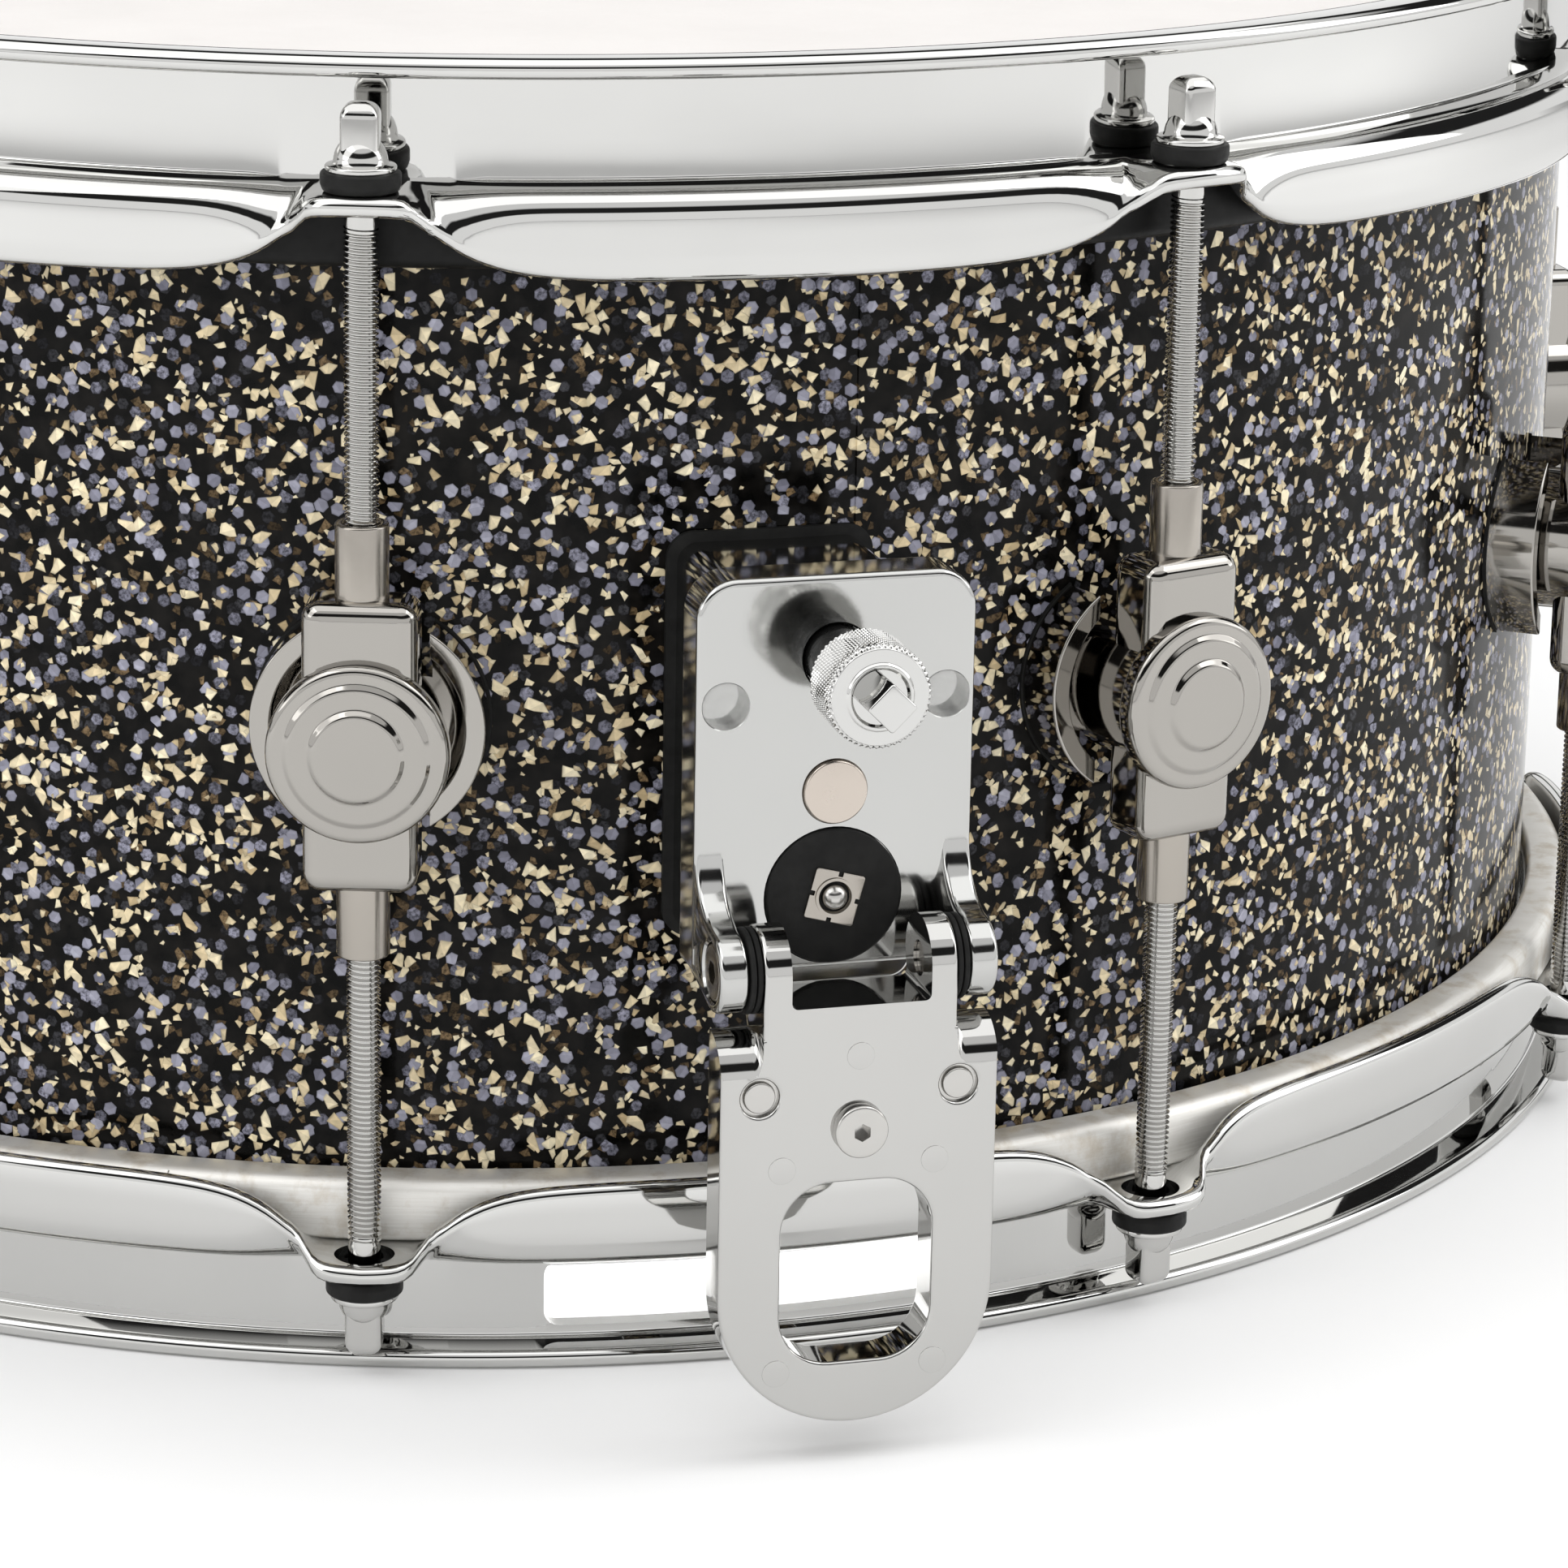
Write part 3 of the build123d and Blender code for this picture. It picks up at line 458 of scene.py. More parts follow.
def flakes(shader, flat, cell, seed, size, shape, share):
    """One scattered layer of flakes: where they are, how light each is, and how lit across it.

    Each Voronoi cell may hold one flake round its point, turned at random. A hexagon is cut by
    six equal sides, and a shard by four uneven ones. Painted shade darkens each flake at its rim and past a fold."""
    def scaled(value):
        node = shader.node("VectorMath", operation="SCALE")
        shader.feed(node.inputs[0], value)
        node.inputs["Scale"].default_value = 1.0 / cell
        return node.outputs[0]

    shift = shader.node("VectorMath", operation="ADD")
    shader.feed(shift.inputs[0], flat)
    shift.inputs[1].default_value = (seed * 37.3, seed * 19.7, 0)
    cells = shader.node("TexVoronoi", voronoi_dimensions="2D")
    shader.feed(cells.inputs["Vector"], shift.outputs[0])
    cells.inputs["Scale"].default_value = 1.0 / cell
    cells.inputs["Randomness"].default_value = 0.85
    offset = shader.node("VectorMath", operation="SUBTRACT")
    shader.feed(offset.inputs[0], scaled(shift.outputs[0]))
    shader.feed(offset.inputs[1], scaled(cells.outputs["Position"]))
    dice = shader.node("SeparateColor")
    shader.feed(dice.inputs[0], cells.outputs["Color"])
    red, green, blue = dice.outputs[:3]
    turn = shader.node("VectorRotate", rotation_type="Z_AXIS")
    shader.feed(turn.inputs["Vector"], offset.outputs[0])
    shader.feed(turn.inputs["Angle"], shader.math("MULTIPLY", red, 6.283))
    u, v, _ = shader.split(turn.outputs[0])
    reach = size / cell

    def side(across, along):
        """Distance from the middle towards one side."""
        return shader.math("MULTIPLY_ADD", u, across, shader.math("MULTIPLY", v, along))

    if shape == "hexagon":
        sides = [side(cos(k * pi / 3), sin(k * pi / 3)) for k in range(6)]
        limit = shader.math("MULTIPLY_ADD", green, 0.22 * reach, 0.86 * reach)
    else:
        other_dice = shader.math("FRACT", shader.math("MULTIPLY", red, 7.0))
        v = shader.math("MULTIPLY", v, shader.math("MULTIPLY_ADD", green, 0.9, 0.45))
        sides = [side(1.0, 0.1)]
        for turned, chance, least, spread in ((100, green, 0.65, 1.1), (212, blue, 0.55, 0.9), (305, other_dice, 0.45, 1.3)):
            nearness = shader.math("MULTIPLY_ADD", chance, spread, least)
            sides.append(shader.math("MULTIPLY", side(cos(radians(turned)), sin(radians(turned))), nearness))
        limit = shader.math("MULTIPLY_ADD", blue, 0.45 * reach, 0.5 * reach)
    extent = sides[0]
    for other in sides[1:]:
        extent = shader.math("MAXIMUM", extent, other)
    depth = shader.math("SUBTRACT", limit, extent)
    inside = shader.ramp(depth, 0.0, 0.03)
    present = shader.math("LESS_THAN", shader.math("FRACT", shader.math("MULTIPLY", green, 17.0)), share)
    tone = shader.math("FRACT", shader.math("MULTIPLY", blue, 23.0))
    # Painted shade: one side of a line across the flake is darker, as if it were folded away from the light.
    fold_shade = shader.math("MULTIPLY_ADD", shader.math("GREATER_THAN", side(0.4, 1.0), shader.math("MULTIPLY", red, 0.3 * reach)), 0.16, 0.84)
    # Painted shade: the flake darkens towards its rim.
    lit = shader.math("MULTIPLY", shader.ramp(depth, 0.0, 0.10, 0.55, 1.0), fold_shade)
    return shader.math("MULTIPLY", inside, present), tone, lit


def glitter_wrap(name):
    """Clear plastic with gold shards and blue-grey hexagons at several depths over black."""
    shader = Shader(name, Roughness=0.10, Specular_IOR_Level=0.08)
    x, y, z = shader.split(shader.place())
    angle = shader.math("ARCTAN2", x, shader.math("MULTIPLY", y, -1.0))
    flat = shader.vector(shader.math("MULTIPLY", angle, WRAP_RADIUS), z)
    smoke = shader.ramp(shader.noise(3.5, 3.0), 0.4, 0.75)
    colour = shader.mix(smoke, (0.002, 0.002, 0.0018, 1), (0.010, 0.009, 0.008, 1))
    # Painted light: noise that brightens and darkens the flakes, standing for glints and shade on crinkled and polished
    # foil.
    crinkle_glint_and_shade = shader.ramp(shader.noise(0.5, 3.0, rough=0.6), 0.36, 0.60, 0.30, 1.12)
    polish_and_sheen = shader.ramp(shader.noise(0.9, 2.0), 0.3, 0.7, 0.86, 1.06)
    layers = [
        # cell, seed, size, shape, share, painted glint and shade, dark end, light end
        (2.3, 1, 0.88, "hexagon", 0.38, crinkle_glint_and_shade, (0.010, 0.010, 0.012), (0.050, 0.050, 0.056)),
        (2.0, 2, 0.74, "shard", 0.30, crinkle_glint_and_shade, (0.030, 0.020, 0.010), (0.22, 0.15, 0.08)),
        (2.5, 3, 0.93, "hexagon", 0.26, crinkle_glint_and_shade, (0.11, 0.11, 0.14), (0.30, 0.30, 0.375)),
        (2.2, 4, 0.80, "shard", 0.25, polish_and_sheen, (0.52, 0.40, 0.23), (0.88, 0.77, 0.52)),
        (2.6, 5, 0.95, "hexagon", 0.27, polish_and_sheen, (0.18, 0.18, 0.23), (0.40, 0.40, 0.48)),
        (2.4, 6, 0.92, "shard", 0.24, polish_and_sheen, (0.68, 0.55, 0.34), (0.94, 0.85, 0.62)),
        (1.7, 7, 0.48, "shard", 0.24, polish_and_sheen, (0.50, 0.40, 0.25), (0.88, 0.78, 0.55)),
    ]
    for cell, seed, size, shape, share, glint_and_shade, dark, light in layers:
        mask, tone, lit = flakes(shader, flat, cell, seed, size, shape, share)
        flake = shader.node("VectorMath", operation="SCALE")
        shader.feed(flake.inputs[0], shader.mix(tone, (*dark, 1), (*light, 1)))
        # Each flake's colour is scaled by its painted shade and painted glints.
        shader.feed(flake.inputs["Scale"], shader.math("MULTIPLY", lit, glint_and_shade))
        colour = shader.mix(mask, colour, flake.outputs[0])
    shader.give("Base Color", colour)
    return shader.material


def coated_film(name):
    """White sprayed coating with a fine tooth."""
    shader = Shader(name, Specular_IOR_Level=0.3)
    cloud = shader.ramp(shader.noise(30.0, 4.0), 0.35, 0.65)
    shader.give("Base Color", shader.mix(cloud, (0.70, 0.674, 0.655, 1), (0.73, 0.704, 0.685, 1)))
    shader.give("Roughness", shader.ramp(shader.noise(5.0, 3.0), 0.3, 0.7, 0.5, 0.62))
    shader.bump(shader.noise(0.7, 4.0, rough=0.65), 0.06)
    return shader.material


def clear_film(name):
    """Thin hazy polyester of the snare-side head."""
    shader = Shader(name, IOR=1.5)
    haze = shader.ramp(shader.noise(22.0, 3.0), 0.35, 0.65)
    shader.give("Base Color", shader.mix(haze, (0.74, 0.75, 0.75, 1), (0.82, 0.83, 0.83, 1)))
    shader.give("Roughness", shader.ramp(shader.noise(3.0, 2.0), 0.3, 0.7, 0.16, 0.26))
    shader.give("Alpha", shader.ramp(shader.noise(40.0, 2.0), 0.3, 0.7, 0.50, 0.58))
    return shader.material


def raw_aluminium(name):
    """Unpolished extrusion: marks drawn along the hoop, and stains."""
    shader = Shader(name, Metallic=0.8)
    x, y, z = shader.split(shader.place())
    angle = shader.math("ARCTAN2", x, shader.math("MULTIPLY", y, -1.0))
    drawn = shader.vector(shader.math("MULTIPLY", angle, 14.0), shader.math("MULTIPLY", z, 3.0))
    marks = shader.noise(1.0, 5.0, where=drawn, rough=0.7)
    stain = shader.ramp(shader.noise(7.0, 5.0, rough=0.65), 0.5, 0.72)
    metal = shader.mix(shader.ramp(marks, 0.3, 0.7), (0.82, 0.80, 0.755, 1), (0.95, 0.94, 0.91, 1))
    shader.give("Base Color", shader.mix(stain, metal, (0.66, 0.60, 0.51, 1)))
    shader.give("Roughness", shader.ramp(marks, 0.3, 0.7, 0.48, 0.62))
    shader.bump(marks, 0.03)
    return shader.material


def maple(name):
    """Clear-lacquered maple with grain running round the shell."""
    shader = Shader(name)
    x, y, z = shader.split(shader.place())
    angle = shader.math("ARCTAN2", x, y)
    along = shader.vector(shader.math("MULTIPLY", angle, 6.0), z)
    grain = shader.noise(2.2, 6.0, where=along, rough=0.6)
    shader.give("Base Color", shader.mix(shader.ramp(grain, 0.32, 0.68), (0.50, 0.32, 0.17, 1), (0.72, 0.52, 0.31, 1)))
    shader.give("Roughness", shader.ramp(grain, 0.3, 0.7, 0.32, 0.46))
    shader.bump(grain, 0.03)
    return shader.material


def clear_plastic(name):
    """Soft clear bumper, slightly cloudy."""
    shader = Shader(name, IOR=1.45)
    cloud = shader.ramp(shader.noise(0.9, 3.0), 0.3, 0.7)
    shader.give("Base Color", shader.mix(cloud, (0.74, 0.74, 0.72, 1), (0.78, 0.78, 0.76, 1)))
    shader.give("Roughness", shader.ramp(cloud, 0.0, 1.0, 0.06, 0.10))
    shader.give("Alpha", shader.ramp(cloud, 0.0, 1.0, 0.13, 0.17))
    return shader.material


CHROME = plated("chrome", (0.600, 0.598, 0.585, 1), 0.025)
PLATE_CHROME = plated("plate_chrome", (0.505, 0.505, 0.493, 1), 0.09)
LEVER_CHROME = plated("lever_chrome", (0.500, 0.496, 0.482, 1), 0.04, wave=0.006, wave_size=6.0)
LUG_CHROME = plated("lug_chrome", (0.372, 0.357, 0.333, 1), 0.05, wave=0.006, wave_size=5.0)
ROD_CHROME = plated("rod_chrome", (0.55, 0.545, 0.53, 1), 0.06)
NICKEL = plated("nickel", (0.390, 0.362, 0.325, 1), 0.16, spread=0.08)
STEEL = plated("zinc_steel", (0.52, 0.51, 0.49, 1), 0.18, spread=0.1)
MAGNET = plated("magnet_nickel", (0.56, 0.50, 0.445, 1), 0.24, wave=0.001, spread=0.04)
CAST_ZINC = plated("cast_zinc", (0.50, 0.50, 0.51, 1), 0.42, wave=0.03, wave_size=1.2, spread=0.12)
BLACK_NYLON = moulded_black("black_nylon", 0.006, 0.5)
BLACK_FLESH_RING = moulded_black("black_oxide", 0.003, 0.42, grain=0.9)
BLACK_GLOSS = moulded_black("black_gloss", 0.003, 0.26)
RUBBER = moulded_black("gasket_rubber", 0.007, 0.65)
WRAP = glitter_wrap("glitter_wrap")
COATED = coated_film("coated_film")
FILM = clear_film("clear_film")
ALUMINIUM = raw_aluminium("raw_aluminium")
MAPLE = maple("maple")
CLEAR = clear_plastic("clear_bumper")


# ---- rims ---------------------------------------------------------------
def eased(share):
    """0 to 1 with a gentle start and a gentle end."""
    share = min(share, 1.0)
    return share * share * (3 - 2 * share)


def lip_slope(past):
    """How far the line from the flange to the skirt's lower edge is turned down, past the flat of an ear."""
    return pi / 2 * (1 - exp(-(past / EDGE_RUN) ** 1.02))


def lip_drop(slope):
    """How far the skirt's lower edge then hangs under the flange."""
    length = EAR_LENGTH + (SKIRT_LENGTH - EAR_LENGTH) * slope / (pi / 2)
    return SKIRT_BEND * (1 - cos(slope)) + (length - SKIRT_BEND * slope) * sin(slope)


def skirt_section(along):
    """The skirt at a distance from the nearest rod: where its bend starts, the bend, its radius and the length.

    The sheet turns down faster than its lower edge drops, with a wide, soft fold beside each ear."""
    beyond = abs(along) - EAR_FLAT
    past = (beyond + hypot(beyond, EAR_CORNER)) / 2
    slope = lip_slope(past)
    bend = slope + (pi / 2 - slope) * eased(past / BEND_RUN)
    softness = exp(-(past / SOFT_RUN) ** 2)
    start, radius = SKIRT_START - SOFT_SHIFT * softness, SKIRT_BEND + SOFT_BEND * softness
    straight = (lip_drop(slope) - radius * (1 - cos(bend))) / sin(bend)
    straight += SOFT_SHIFT * softness * cos(bend) ** 4      # so that the ear reaches as far
    return start, bend, radius, straight


def rim_middle(start, bend, radius, straight, flange):
    """Middle line of the rim's sheet, from the rolled lip to the edge of the skirt."""
    lip = [(LIP_OUT - SHEET / 2, DRUM_TOP - SHEET / 2), (WALL_OUT, DRUM_TOP - SHEET / 2, 2.0)]
    foot = [(WALL_OUT, flange, 1.9), (start, flange)]
    line = softened(lip + foot, 0, closed=False, steps=6)
    turn = [bend * k / 8 for k in range(1, 9)]
    line += [(start + radius * sin(t), flange - radius * (1 - cos(t))) for t in turn]
    r, z = line[-1]
    for part in (0.33, 0.66, 1.0):
        line.append((r + straight * part * cos(bend), z - straight * part * sin(bend)))
    return np.array(line)


def thickened(line, half):
    """A closed outline round a middle line, with round ends."""
    step = np.gradient(line, axis=0)
    step /= np.linalg.norm(step, axis=1)[:, None]
    side = np.column_stack((-step[:, 1], step[:, 0]))
    ends = []
    for point, along, across in ((line[-1], step[-1], side[-1]), (line[0], -step[0], -side[0])):
        turns = np.radians([30, 60, 90, 120, 150])
        ends.append(np.array([point + half * (np.cos(t) * across + np.sin(t) * along) for t in turns]))
    return np.vstack((line + half * side, ends[0], (line - half * side)[::-1], ends[1]))


def rim_mesh(side):
    """One rim: its section follows the bend of the skirt all the way round, then it is pierced."""
    flange = flange_under(side) + SHEET / 2
    per_lug = 84
    spacing = 2 * pi * ROD_CIRCLE / len(LUG_ANGLES)
    verts, columns = [], 0
    for angle in LUG_ANGLES:
        for k in range(per_lug):
            s = 2 * k / per_lug - 1
            along = spacing / 2 * np.sign(s) * abs(s) ** 1.6
            section = thickened(rim_middle(*skirt_section(along), flange), SHEET / 2)
            columns = len(section)
            turn = radians(angle) + along / ROD_CIRCLE
            heights = side_up(side, section[:, 1])
            verts.append(np.column_stack((section[:, 0] * sin(turn), -section[:, 0] * cos(turn), heights)))
    rows = len(verts)
    faces = []
    for j in range(rows):
        a, b = j * columns, (j + 1) % rows * columns
        for i in range(columns):
            k = (i + 1) % columns
            faces.append((a + i, b + i, b + k, a + k))
    mesh = make_mesh("rim", np.vstack(verts) * MM, faces, sharp=50)
    height = side_up(side, flange)
    hole = slab(circle(EAR_HOLE, steps=40), height - 4, height + 4, 0)
    cutters = []
    for angle in LUG_ANGLES:
        (u, v, h), hole_faces = hole[0].T, hole[1]
        placed = np.column_stack((u, h, v + ROD_CIRCLE))
        cutters.append(make_mesh("hole", to_world(placed, angle), hole_faces))
    if side == "snare":
        gate = slab(rounded_box(32.3, 4.95, 2.2, (0, 9.35)), 170, 186, 0)
        cutters += [make_mesh("gate", to_world(gate[0], angle), gate[1]) for angle in (0, 180)]
    return cut(mesh, cutters, sharp=50)


def make_rims():
    for side in SIDES:
        piece(f"{side}_rim", rim_mesh(side), CHROME, f"{side}_rim", [f"{side}_hoop"])


# ---- shell skin, heads and flesh hoops ----------------------------------
SEAM_ANGLE = 4.0
SEAM_STEP = 0.35


def wrap_skin():
    """The wrap: its one end laps over the other, with a small step at the seam."""
    low, high = edge_mm("shell_wrap", 0, 2), edge_mm("shell_wrap", 1, 2)
    steps, inner = 720, WRAP_RADIUS - 0.4
    verts = []
    for k in range(steps + 1):
        turned = 360 * k / steps
        lift = SEAM_STEP * exp(-turned / 3.5)
        turn = radians(SEAM_ANGLE + turned)
        section = [(inner, low), (WRAP_RADIUS + lift, low), (WRAP_RADIUS + lift, high), (inner, high)]
        verts += [(r * sin(turn), -r * cos(turn), z) for r, z in section]
    faces = []
    for k in range(steps):
        a, b = 4 * k, 4 * k + 4
        faces += [(a + i, b + i, b + (i + 1) % 4, a + (i + 1) % 4) for i in range(4)]
    faces += [(3, 2, 1, 0), tuple(4 * steps + i for i in range(4))]
    return make_mesh("wrap_skin", np.array(verts) * MM, faces, sharp=40)


def round_the_drum(side, profile, steps=288, sharp=32):
    """A lathed ring or disc about the drum's axis, turned over for the snare side."""
    verts, faces = lathe(profile, steps)
    verts[:, 2] = side_up(side, verts[:, 2])
    return make_mesh("ring", verts * MM, faces, sharp)


def head_profile(film):
    top, collar, foot = SHELL_TOP + film, 178.95, 163.5
    outer = softened([(0, top, 0), (collar, top, 2.6), (collar, foot, 0)], 0, closed=False, steps=8)
    inner = softened([(collar - film, foot, 0), (collar - film, SHELL_TOP, 2.2), (0, SHELL_TOP, 0)], 0, closed=False, steps=8)
    return outer + inner


def flesh_profile(side):
    low, high = sorted(side_up(side, edge_mm(f"{side}_flesh_hoop", end, 2)) for end in (0, 1))
    inner, outer = 179.05, edge_mm(f"{side}_flesh_hoop", 1, 0)
    return softened([(inner, low, 0.8), (outer, low, 2.2), (outer, high, 1.2), (inner, high, 0.8)], 1)


JOINT_ANGLE = -27.0


def make_skin_and_heads():
    piece("wrap_skin", wrap_skin(), WRAP, "drum", ["shell_wrap"])
    batter = round_the_drum("batter", head_profile(0.5))
    piece("batter_film", batter, COATED, "batter_rim", ["batter_head"])
    snare = round_the_drum("snare", head_profile(0.3))
    piece("snare_film", snare, FILM, "snare_rim", ["snare_head"])
    # The batter flesh ring is drawn plain black all round.
    black = round_the_drum("batter", flesh_profile("batter"))
    piece("batter_flesh_ring", black, BLACK_FLESH_RING, "batter_rim", ["batter_flesh_hoop"])
    bare = round_the_drum("snare", flesh_profile("snare"))
    slit = slab(rounded_box(0.12, 9, 0, (0, middle_mm("snare_flesh_hoop", 2))), 184.6, 187, 0)
    slit = make_mesh("slit", to_world(slit[0], JOINT_ANGLE), slit[1])
    piece("snare_flesh_ring", cut(bare, [slit]), ALUMINIUM, "snare_rim", ["snare_flesh_hoop"])


# ---- tension rods and lugs ----------------------------------------------
def thread(low, high, around=22):
    """A screw thread as one strip of faces wound along its helix."""
    crest, root = THREAD_RADIUS, THREAD_ROOT
    section = [(crest, 0.0), (crest, 0.14), (root, 0.46), (root, 0.60)]
    turns = int((high - low) / PITCH)
    count = len(section)
    verts = []
    for j in range(turns * around):
        t = 2 * pi * j / around
        for r, part in section:
            verts.append((r * cos(t), r * sin(t), low + PITCH * (j / around + part)))
    faces = []
    last = (turns - 1) * around - 1
    for j in range(last):
        a, b = j * count, (j + 1) * count
        for i in range(count - 1):
            faces.append([a + i, b + i, b + i + 1, a + i + 1])
        c = (j + around) * count
        faces.append([a + count - 1, b + count - 1, c + count, c])
    return np.array(verts), faces


def square_head(half, low, high, corner=1.1, crown=2.0):
    """The key square: flat sides, round corners and a top rounded off over the height of its crown."""
    outline = rounded_box(half, half, corner)
    turns = np.radians(np.linspace(0, 80, 8))
    rows = [(1.0, low)] + [(1 - crown / half * (1 - cos(t)), high - crown * (1 - sin(t) / sin(turns[-1]))) for t in turns]
    verts = [(u * scale, v * scale, h) for scale, h in rows for u, v in outline]
    count = len(outline)
    faces = []
    for j in range(len(rows) - 1):
        a, b = j * count, (j + 1) * count
        faces += [[a + i, a + (i + 1) % count, b + (i + 1) % count, b + i] for i in range(count)]
    faces += [list(range(count))[::-1], [len(verts) - count + i for i in range(count)]]
    return np.array(verts), faces


def rod_parts(side):
    """Thread, key square, and a bell-shaped head with a thin flange."""
    flange = flange_under(side)
    seat, thread_high = flange + SHEET + WASHER_THICK, flange - 1.5
    neck = [(0, thread_high - 1.5), (2.1, thread_high - 1.5), (2.3, thread_high - 0.3), (2.3, seat)]
    disc = softened([(4.9, seat, 0.3), (4.9, seat + 0.85, 0.4), (3.9, seat + 1.1, 0.3)], 0.2, closed=False)
    disc[0] = (4.75, seat)
    bell = [(3.75 * cos(t), seat + 1.1 + 4.0 * sin(t)) for t in np.radians(np.linspace(4, 86, 12))]
    shape = lathe(neck + disc + bell + [(0, seat + 5.1)], 40)
    point = [(0, THREAD_LOW - 0.4), (1.5, THREAD_LOW - 0.4), (2.0, THREAD_LOW + 0.2), (2.0, THREAD_LOW + 2.5)]
    tip = lathe(point + [(0, THREAD_LOW + 2.5)], 24)
    square = square_head(2.65, seat + 0.8, rod_top(side))
    return [about_up(part, 0, ROD_CIRCLE) for part in (shape, thread(THREAD_LOW, thread_high), tip, square)]


def turned_over(side, parts):
    """Parts that are drawn as if their side were up, put where they belong."""
    if side == "batter":
        return parts
    return [(np.column_stack((-verts[:, 0], DRUM_TOP - verts[:, 1], verts[:, 2])), faces) for verts, faces in parts]


def make_rods():
    """Twenty rods, threaded from just under the rim into the lugs."""
    for side in SIDES:
        parts = turned_over(side, rod_parts(side))
        for number, angle in enumerate(LUG_ANGLES, start=1):
            node = f"{side}_rod_{number:02d}"
            piece(f"{node}_screw", local_mesh(node, parts, 40, angle), ROD_CHROME, node, [node])


def make_washers():
    for side in SIDES:
        low = flange_under(side) + SHEET
        high = low + WASHER_THICK
        outline = [(2.7, low, 0.2), (5.15, low, 0.3), (5.5, low + 0.9, 0.5), (5.5, high, 0.45), (2.7, high, 0.2)]
        ring = lathe(softened(outline, 0.3, steps=3), 48)
        parts = turned_over(side, [about_up(ring, 0, ROD_CIRCLE)])
        for number, angle in enumerate(LUG_ANGLES, start=1):
            mesh = local_mesh("washer", parts, 40, angle)
            piece(f"{side}_washer_{number:02d}", mesh, BLACK_NYLON, f"{side}_rim", [f"{side}_rod_washers"])


LUG_BASE, LUG_BASE_OUT, LUG_SPLIT = 16.5, 185.0, 8.75
LUG_FACE_OUT = 200.0


def lug_parts():
    """Round face with a raised centre, upright block, post, and a split base with two crescents."""
    face = softened([
        (0, LUG_FACE_OUT), (6.0, LUG_FACE_OUT, 0.9), (6.8, LUG_FACE_OUT - 0.75, 0.6),
        (9.5, LUG_FACE_OUT - 0.75, 0.9), (10.3, LUG_FACE_OUT - 1.35, 0.5),
        (12.7, LUG_FACE_OUT - 1.45, 1.8), (12.7, 195.2, 0.9), (11.0, 194.4, 0.4),
        (11.0, 176.8), (0, 176.8)], 0.2, closed=False, steps=5)
    block = slab(rounded_box(8.0, 20.7, 2.6, (0, MID)), 186.2, 196.2, 2.4, steps=6)
    outer, inner = LUG_BASE, LUG_BASE - 3.1
    base = softened([
        (0, 181.2), (inner - 1.2, 181.2, 0.5), (inner, 183.6, 0.5), (inner + 0.25, LUG_BASE_OUT, 0.25),
        (outer, LUG_BASE_OUT, 0.35), (outer, 176.9), (0, 176.9)], 0.2, closed=False, steps=4)
    return about_out(lathe(face, 96), 0, MID), block, about_out(lathe(base, 120), 0, MID)


def make_lugs():
    face, block, base = lug_parts()
    slot = slab(rounded_box(LUG_SPLIT, 30, 0, (0, MID)), 170, 190, 0)
    crescents = united("lug_base", [base], [slot])
    lug_mesh = merged([local_mesh("lug", [face, block], 28), crescents])
    tube = softened([(2.5, 106), (3.75, 106), (3.75, MID + 31, 0.35), (2.5, MID + 31, 0.3)], 0, steps=3)
    above = [about_up(lathe(tube, 40), 0, ROD_CIRCLE)]
    receivers = above + turned_over("snare", above)
    for number, angle in enumerate(LUG_ANGLES, start=1):
        lug = lug_mesh.copy()
        lug.transform(Matrix.Rotation(radians(angle), 4, "Z"))
        piece(f"lug_{number:02d}", lug, LUG_CHROME, "drum", ["lugs"], even=True)
        tubes = local_mesh("receiver", receivers, 32, angle)
        piece(f"receivers_{number:02d}", tubes, NICKEL, "drum", ["lug_receivers"])


# ---- throw-off: fixed pieces --------------------------------------------
EAR_ROUND = 5.6
EAR_SPAN = (15.4, PLATE_HALF - 0.1)
NECK_HALF = edge_mm("strainer_neck", 1, 0)
NECK_LOW, NECK_TOP = edge_mm("strainer_neck", 0, 2), edge_mm("strainer_neck", 1, 2)
MAGNET_UP, DISC_UP = middle_mm("magnet", 2), middle_mm("guide_disc", 2)
BUMPER_ACROSS, BUMPER_UP = 15.5, middle_mm("bumpers", 2)


def meshes_of(shapes, name="part"):
    return [make_mesh(name, to_world(verts), faces) for verts, faces in shapes]


def united(name, shapes, holes=(), sharp=32):
    """Overlapping shapes joined into one skin, then cut."""
    first, *others = meshes_of(shapes, name)
    whole = cut(first, others, "UNION", sharp)
    return cut(whole, meshes_of(holes), "DIFFERENCE", sharp) if holes else whole


def arm_outline():
    """Side view of a hinge arm: it flows from the plate's face into the round ear."""
    bend = 9.5
    drop = ((bend + EAR_ROUND) ** 2 - (PLATE_FRONT + bend - HINGE_OUT) ** 2) ** 0.5
    centre = (PLATE_FRONT + bend, HINGE_UP + drop)
    meet = np.degrees(np.arctan2(-drop, HINGE_OUT - centre[0]))
    hollow = arc(centre, bend, 180, 360 + meet, 12)
    ear = arc((HINGE_OUT, HINGE_UP), EAR_ROUND, 180 + meet, -100, 26)
    high = HINGE_UP + 20
    return [(PLATE_BACK + 2, PLATE_LOW + 1), (PLATE_BACK + 2, high), (PLATE_FRONT, high)] + hollow + ear[1:]


def across_slab(outline, low, high, bevel):
    """A side view given a width, on the right and on the left."""
    right = facing_across(slab(outline, low, high, bevel))
    left = facing_across(slab(outline, -high, -low, bevel))
    return [right, left]


def disc_cut(radius, low, high, across, up, flare=0.0):
    """A round hole in the face, with a slightly flared mouth."""
    profile = [(0, low), (radius, low), (radius, high - 1 - flare), (radius + flare + 1, high), (0, high)]
    return about_out(lathe(profile, 56), across, up)


